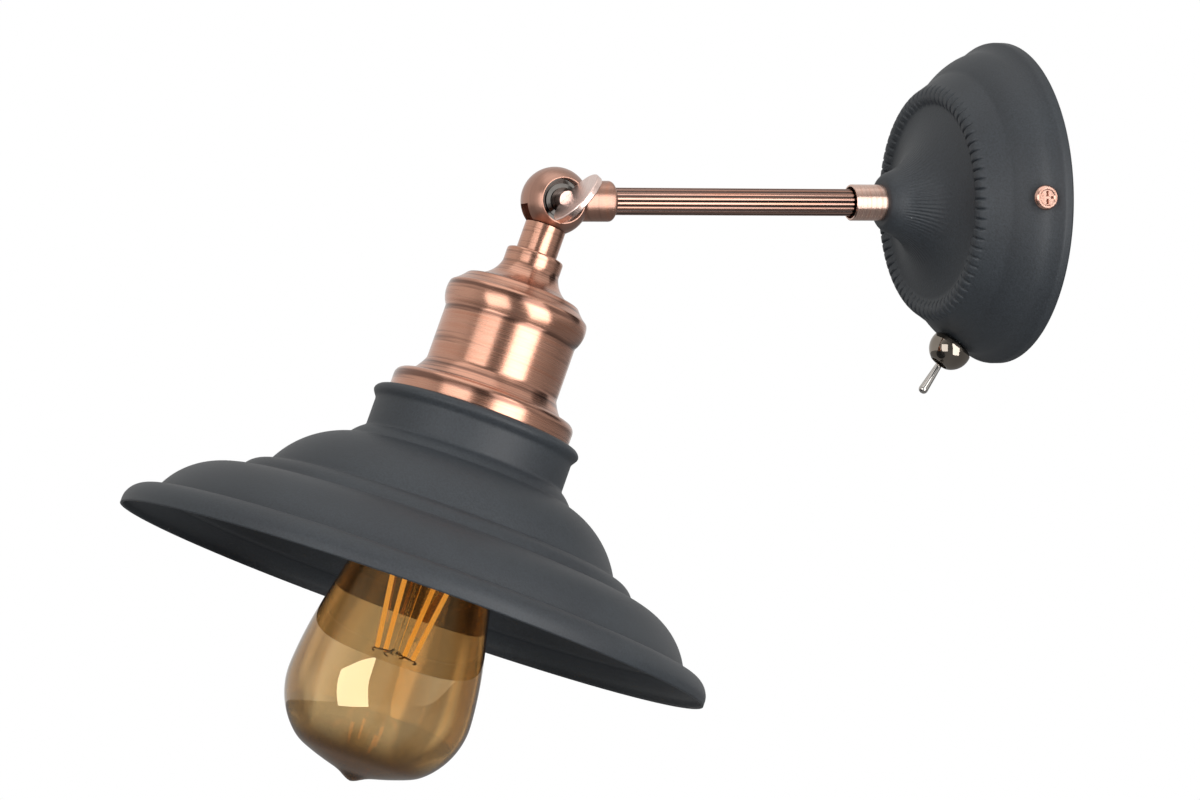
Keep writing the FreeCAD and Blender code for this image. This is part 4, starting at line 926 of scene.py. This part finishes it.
@dataclass
class Arm(Assembly):
    """The reeded tube and the sleeve nut that joins it to the plate."""

    def dress(self, workshop: Workshop) -> None:
        """Dresses the tube and its sleeve nut."""
        workshop.dress(self.finishes.arm_copper_painted_shade, "arm_tube")
        workshop.dress(self.finishes.ferrule_copper_painted_highlight, "arm_ferrule")


@dataclass
class Knuckle(Assembly):
    """The ball with its washers and the coin-headed screw that clamps it."""

    def dress(self, workshop: Workshop) -> None:
        """Dresses the ball, the washers, the screw and the neck."""
        look = self.finishes
        workshop.dress(look.ball_copper_painted_shade, "ball_housing")
        workshop.dress(look.coin_copper_painted_highlight, "thumb_screw")
        workshop.dress(look.washer_nickel, "knuckle_flat_washer", "knuckle_spring_washer",
                       "knuckle_thrust_washer")
        workshop.dress(look.head_copper, "knuckle_neck")


@dataclass
class LampholderCover(Assembly):
    """The spun copper bell over the lampholder."""

    place: Place = PLACES["head"]
    wall: float = 1.0
    step: float = 0.5
    steps_round: int = 180
    core: float = 50.0
    neck: Triple = (9.9, 19.6, 24.8)
    hole: float = 5.1
    edge: Point = (0.6, 0.18)
    waist: float = 23.0
    bell: tuple[Station, ...] = (       # the radii are counted from the waist
        (-3.3, 32.6, -2.1), (1.2, 36.9, -0.3), (0, 45.5, 1.0), (0, 64.5, 0), (4.4, 70.9, -0.4),
        (8.7, 72.9, 1.3), (8.7, 78.2, 0),
    )

    def line(self) -> list[Station]:
        """The outer line from the hole at its top to its open edge."""
        radius, top, foot = self.neck
        edge, crown = self.edge
        bell = [(self.waist + out, height, rise) for out, height, rise in self.bell]
        return [(self.hole, top, 0), (radius - edge, top, 0), (radius, top + edge, crown),
                (radius, foot, 0), *bell]

    def build(self, workshop: Workshop) -> None:
        """Makes the bell."""
        skin = spun(outline(self.line(), self.step), self.steps_round, self.core)
        Piece("copper_cover", self.place, Body.HEAD, Slot.COPPER, (self.finishes.head_copper,),
              ("lampholder_cover",)).build(skin, workshop, self.wall)

    def dress(self, workshop: Workshop) -> None:
        """Dresses the lampholder under the bell."""
        look = self.finishes
        workshop.dress(look.zinc, "neck_nipple", "cover_tooth_washer", "cover_lock_nut")
        workshop.dress(look.plastic, "lampholder_dome", "lampholder_skirt", "shade_ring")
        workshop.dress(look.ceramic, "contact_block")
        workshop.dress(look.brass, "screw_sleeve", "centre_contact")


@dataclass
class Shade(Assembly):
    """The stepped shade, spun from steel sheet and coated inside and out."""

    place: Place = PLACES["head"]
    wall: float = 0.8
    step: float = 0.7
    steps_round: int = 200
    core: float = 130.0
    crease: float = 60.0
    top: float = 78.2
    hole: float = 19.9
    flat: float = 32.8
    bead: Station = (36.4, 80.3, 0.9)
    neck: Triple = (34.7, 82.9, 93.0)
    neck_crown: float = 0.1
    steps: tuple[Station, ...] = (
        (4.6, 4.3, 0.3), (21.7, 18.0, 3.1), (8.3, 5.2, 1.5), (23.8, 16.3, 4.3), (9.7, 5.9, 2.5),
    )
    lip: float = 2.5

    def line(self) -> list[Station]:
        """The outer line from the lampholder's hole to the rim."""
        radius, start, level = self.neck
        stations = [(self.hole, self.top, 0), (self.flat, self.top, 0), self.bead,
                    (radius, start, self.neck_crown), (radius, level, 0)]
        for growth, height, crown in self.steps:
            radius += growth
            level += height
            stations.append((radius, level, crown))
        stations.append((radius, level + self.lip, 0))
        return stations

    def build(self, workshop: Workshop) -> None:
        """Makes the shade."""
        skin = spun(outline(self.line(), self.step), self.steps_round, self.core)
        Piece("spun_shade", self.place, Body.HEAD, Slot.POWDER, (self.finishes.coat,),
              ("shade",), self.crease).build(skin, workshop, self.wall)


@dataclass
class Bulb(Assembly):
    """The amber pear bulb, its stem, and the filaments on their wires."""

    place: Place = PLACES["head"]
    wall: float = 0.9
    step: float = 1.2
    passes: int = 5
    steps_round: int = 144
    core: float = 150.0
    crease: float = 60.0
    glass: tuple[Station, ...] = (
        (11.2, 80.0, 0), (11.2, 84.5, 0), (13.2, 89.0, 0), (28.9, 154.3, 0.4), (32.0, 178.0, 0.5),
        (20.8, 199.1, 2.8), (4.2, 204.4, 0.4), (2.6, 206.0, 0), (0.5, 206.7, 0.2), (0.0, 206.7, 0),
    )
    filaments: int = 4
    filament_radius: float = 0.8
    filament_round: float = 0.8         # how much of the radius its ends are rounded by
    filament_top: Point = (12.3, 123.2)
    filament_foot: Point = (6.6, 162.6)
    first_turn: float = 82.0
    stem_tip: Point = (2.3, 110.0)
    rod_end: Point = (0.9, 162.1)
    wire_radius: float = 0.3
    hook: float = 1.1
    hook_side: float = 0.6
    hook_steps: int = 4

    def build(self, workshop: Workshop) -> None:
        """Makes the glass, the filaments and their wires."""
        look = self.finishes
        skin = spun(outline(self.glass, self.step, self.passes), self.steps_round, self.core)
        Piece("pear_glass", self.place, Body.BULB, Slot.GLASS, (look.amber, look.amber_inside),
              ("bulb_glass",), self.crease).build(skin, workshop, self.wall)
        rods, wires = bmesh.new(), bmesh.new()
        for number in range(self.filaments):
            turn = Matrix.Rotation(
                math.radians(self.first_turn) + 2 * math.pi * number / self.filaments, 4, "Z")
            self.filament(rods, turn)
            self.wire(wires, turn, [self.stem_tip, self.filament_top], -1)
            self.wire(wires, turn, [self.rod_end, self.filament_foot], 1)
        Piece("filament_rods", self.place, Body.BULB, Slot.FILAMENT, (look.phosphor,),
              ("bulb_filaments",)).build(rods, workshop)
        Piece("support_wires", self.place, Body.BULB, Slot.WIRE, (look.wire,),
              ("bulb_supports",)).build(wires, workshop)

    def filament(self, mesh: BMesh, turn: Matrix) -> None:
        """Adds one coated filament, a rod with rounded ends.

        Args:
            mesh: What it is added to.
            turn: Where it stands about the bulb's axis.
        """
        (top_radius, top), (foot_radius, foot) = self.filament_top, self.filament_foot
        start, end = Vector((top_radius, 0, top)) * MM, Vector((foot_radius, 0, foot)) * MM
        radius = self.filament_radius * MM
        lean = (end - start).to_track_quat("Z", "X").to_matrix().to_4x4()
        placed = turn @ Matrix.Translation((start + end) / 2) @ lean
        rod = bmesh.ops.create_cone(mesh, cap_ends=True, segments=20, radius1=radius, radius2=radius,
                                    depth=(end - start).length, matrix=placed)
        rims = {edge for vertex in rod["verts"] for edge in vertex.link_edges
                if any(len(face.verts) > 4 for face in edge.link_faces)}
        bmesh.ops.bevel(mesh, geom=list(rims), offset=radius * self.filament_round, segments=4,
                        profile=0.5, affect="EDGES", material=-1)

    def wire(self, mesh: BMesh, turn: Matrix, ends: list[Point], way: int) -> None:
        """Adds one support wire that ends in a hook beside its filament.

        Args:
            mesh: What it is added to.
            turn: Where it stands about the bulb's axis.
            ends: Radius and height where it leaves the stem and where the filament ends.
            way: 1 if the hook turns away from the stem's foot, -1 if towards it.
        """
        (start_radius, start), (end_radius, end) = ends
        path = [Vector((start_radius, 0, start)), Vector((end_radius - self.hook, 0, end))]
        for number in range(self.hook_steps + 1):
            angle = math.pi * number / self.hook_steps
            back = self.hook * (1 - math.cos(angle))
            path.append(Vector((
                end_radius + self.hook * math.sin(angle), self.hook_side * back, end + way * back / 2)))
        tube(mesh, [turn @ (point * MM) for point in path], self.wire_radius * MM)

    def dress(self, workshop: Workshop) -> None:
        """Dresses the cap and the stem."""
        look = self.finishes
        workshop.dress(look.cap, "bulb_shell", "bulb_contact")
        workshop.dress(look.dark_glass, "bulb_insulator")
        workshop.dress(look.clear_glass, "bulb_stem")


def tube(mesh: BMesh, path: Sequence[Vector], radius: float) -> None:
    """Adds a thin round wire along a path, made as a bevelled curve.

    Args:
        mesh: What it is added to.
        path: The points that it follows, in metres.
        radius: Its radius in metres.
    """
    curve = bpy.data.curves.new("wire", "CURVE")
    curve.dimensions = "3D"
    curve.bevel_depth = radius
    curve.bevel_resolution = 3
    curve.use_fill_caps = True
    spline = curve.splines.new("POLY")
    spline.points.add(len(path) - 1)
    for point, place in zip(spline.points, path):
        point.co = (*place, 1)
    holder = bpy.data.objects.new("wire", curve)
    drawn = bpy.data.meshes.new_from_object(holder)
    mesh.from_mesh(drawn)
    bpy.data.objects.remove(holder)
    bpy.data.curves.remove(curve)
    bpy.data.meshes.remove(drawn)


@dataclass
class Switch(Assembly):
    """The toggle switch under its domed nut."""

    def dress(self, workshop: Workshop) -> None:
        """Dresses the nut, the lever and what is inside the plate."""
        look = self.finishes
        workshop.dress(look.nickel, "switch_dome_nut")
        workshop.dress(look.chrome, "toggle_lever")
        workshop.dress(look.zinc, "switch_bush", "switch_washer", "switch_lock_nut")
        workshop.dress(look.plastic, "switch_body")
        workshop.dress(look.brass, "switch_pins")


# Studio


@dataclass(frozen=True)
class Softbox:
    """A flat soft light that looks at a point of the lamp. Its sizes are in metres."""

    name: str
    position: Triple
    target: Triple
    size: Point
    power: float
    spared: tuple[str, ...] = ()        # pieces that it is kept off

    def build(self) -> None:
        """Hangs the light in the studio."""
        light = bpy.data.lights.new(self.name, "AREA")
        light.shape = "RECTANGLE"
        light.size, light.size_y = self.size
        light.energy = self.power
        lamp = linked(self.name, light)
        lamp.location = self.position
        aim = Vector(self.target) - Vector(self.position)
        lamp.rotation_euler = aim.to_track_quat("-Z", "Y").to_euler()

    def flag(self) -> None:
        """Keeps the light off the spared pieces, once they are there."""
        if not self.spared:
            return
        shaded = bpy.data.collections.new(f"{self.name}_spared")
        for name in self.spared:
            shaded.objects.link(bpy.data.objects[name])
        bpy.data.objects[self.name].light_linking.receiver_collection = shaded
        for member in shaded.collection_objects:
            member.light_linking.link_state = "EXCLUDE"


@dataclass
class Studio:
    """A pale floor that fades into a pale background, soft lights, and the photograph's viewpoint."""

    azimuth: float = 67.72
    elevation: float = 0.61
    roll: float = -0.52
    distance: float = 1.5
    target: Triple = (0.0, -0.15187, -0.06738)
    lens: float = 132.67
    sensor: float = 36.0
    clip: Point = (0.01, 50.0)
    floor_level: float = -0.85
    floor_radius: float = 6.0
    floor_fade: Point = (0.15, 0.8)
    floor_glare: float = 0.25
    paper: str = "#f2f2f0"
    pale: str = "#ffffff"
    room: str = "#fbfaf8"
    room_light: Fade = (0.1, 0.95, 0.75, 0.2)       # bright behind the lamp, dim on the camera's side
    lights: tuple[Softbox, ...] = (
        Softbox("right_strip", (1.158, 0.089, -0.12), (0.0, -0.18, -0.12), (0.8, 1.7), 17.0,
                spared=("pear_glass",)),
        Softbox("left_box", (0.679, -1.116, 0.05), (0.0, -0.18, -0.08), (0.8, 0.9), 6.0),
        Softbox("overhead", (0.2, -0.3, 1.4), (0.0, -0.15, -0.05), (1.4, 1.4), 4.2),
    )

    def looked_at(self, nodes: Nodes) -> Socket:
        """One where the studio is looked at, also through glass, and zero where it only lights."""
        path = nodes.add("LightPath").outputs
        return nodes.math("MAXIMUM", path["Is Camera Ray"], path["Is Transmission Ray"])

    def floor(self) -> None:
        """Lays the round floor. Its colour goes over to the background's away from the lamp."""
        disc = bmesh.new()
        bmesh.ops.create_circle(disc, cap_ends=True, segments=96, radius=self.floor_radius,
                                matrix=Matrix.Translation((0, 0, self.floor_level)))
        floor = meshed("studio_floor", disc)
        material = bpy.data.materials.new("pale_studio_paper")
        material.use_nodes = True
        nodes = Nodes(material.node_tree)
        far = nodes.add("VectorMath", {0: nodes.here()}, operation="LENGTH").outputs["Value"]
        share = nodes.ramp(far, *self.floor_fade, smooth=True)
        paper = nodes.add("BsdfDiffuse", {"Color": linear(self.paper)})
        glare = nodes.ramp(self.looked_at(nodes), 0.0, 1.0, self.floor_glare, 1.0)
        haze = nodes.add("Emission", {"Color": linear(self.pale), "Strength": glare})
        mixed = nodes.add("MixShader", {0: share, 1: paper.outputs[0], 2: haze.outputs[0]})
        nodes.add("OutputMaterial", {"Surface": mixed.outputs[0]})
        floor.data.materials.append(material)

    def background(self) -> None:
        """Makes the room: pale to look at, and dimmer for reflections on the camera's side."""
        world = bpy.data.worlds.new("studio")
        bpy.context.scene.world = world
        world.use_nodes = True
        nodes = Nodes(world.node_tree)
        way = nodes.add("TexCoord").outputs["Generated"]
        facing = nodes.add("VectorMath", {0: way, 1: tuple(self.back())}, operation="DOT_PRODUCT")
        dim = nodes.ramp(facing.outputs["Value"], *self.room_light, smooth=True)
        room = nodes.add("Background", {"Color": linear(self.room), "Strength": dim})
        seen = nodes.add("Background", {"Color": linear(self.pale), "Strength": 1.0})
        mixed = nodes.add("MixShader", {
            0: self.looked_at(nodes), 1: room.outputs[0], 2: seen.outputs[0]})
        nodes.add("OutputWorld", {"Surface": mixed.outputs[0]})

    def back(self) -> Vector:
        """The way from the lamp to the camera."""
        turn, lift = math.radians(self.azimuth), math.radians(self.elevation)
        return Vector((math.sin(turn) * math.cos(lift), -math.cos(turn) * math.cos(lift), math.sin(lift)))

    def camera(self) -> None:
        """Sets the camera where the photograph was taken from."""
        data = bpy.data.cameras.new("photo_camera")
        data.lens = self.lens
        data.sensor_width = self.sensor
        data.clip_start, data.clip_end = self.clip
        camera = linked("photo_camera", data)
        camera.location = Vector(self.target) + self.back() * self.distance
        level = (-self.back()).to_track_quat("-Z", "Y")
        camera.rotation_euler = (level @ Quaternion((0, 0, 1), math.radians(self.roll))).to_euler()
        bpy.context.scene.camera = camera

    def build(self) -> None:
        """Sets up the camera, the floor, the room and the lights."""
        self.camera()
        self.floor()
        self.background()
        for light in self.lights:
            light.build()
        bpy.context.scene.view_settings.view_transform = "Standard"


def main() -> None:
    """Builds the studio and every sub-assembly in order."""
    logging.basicConfig(level=logging.INFO, format="%(name)s: %(message)s")
    studio = Studio()
    studio.build()
    workshop, finishes = Workshop(), Finishes()
    for kind in (WallPlate, Arm, Knuckle, LampholderCover, Shade, Bulb, Switch):
        made = kind(finishes)
        made.build(workshop)
        made.dress(workshop)
    for light in studio.lights:
        light.flag()


if __name__ == "__main__":
    main()
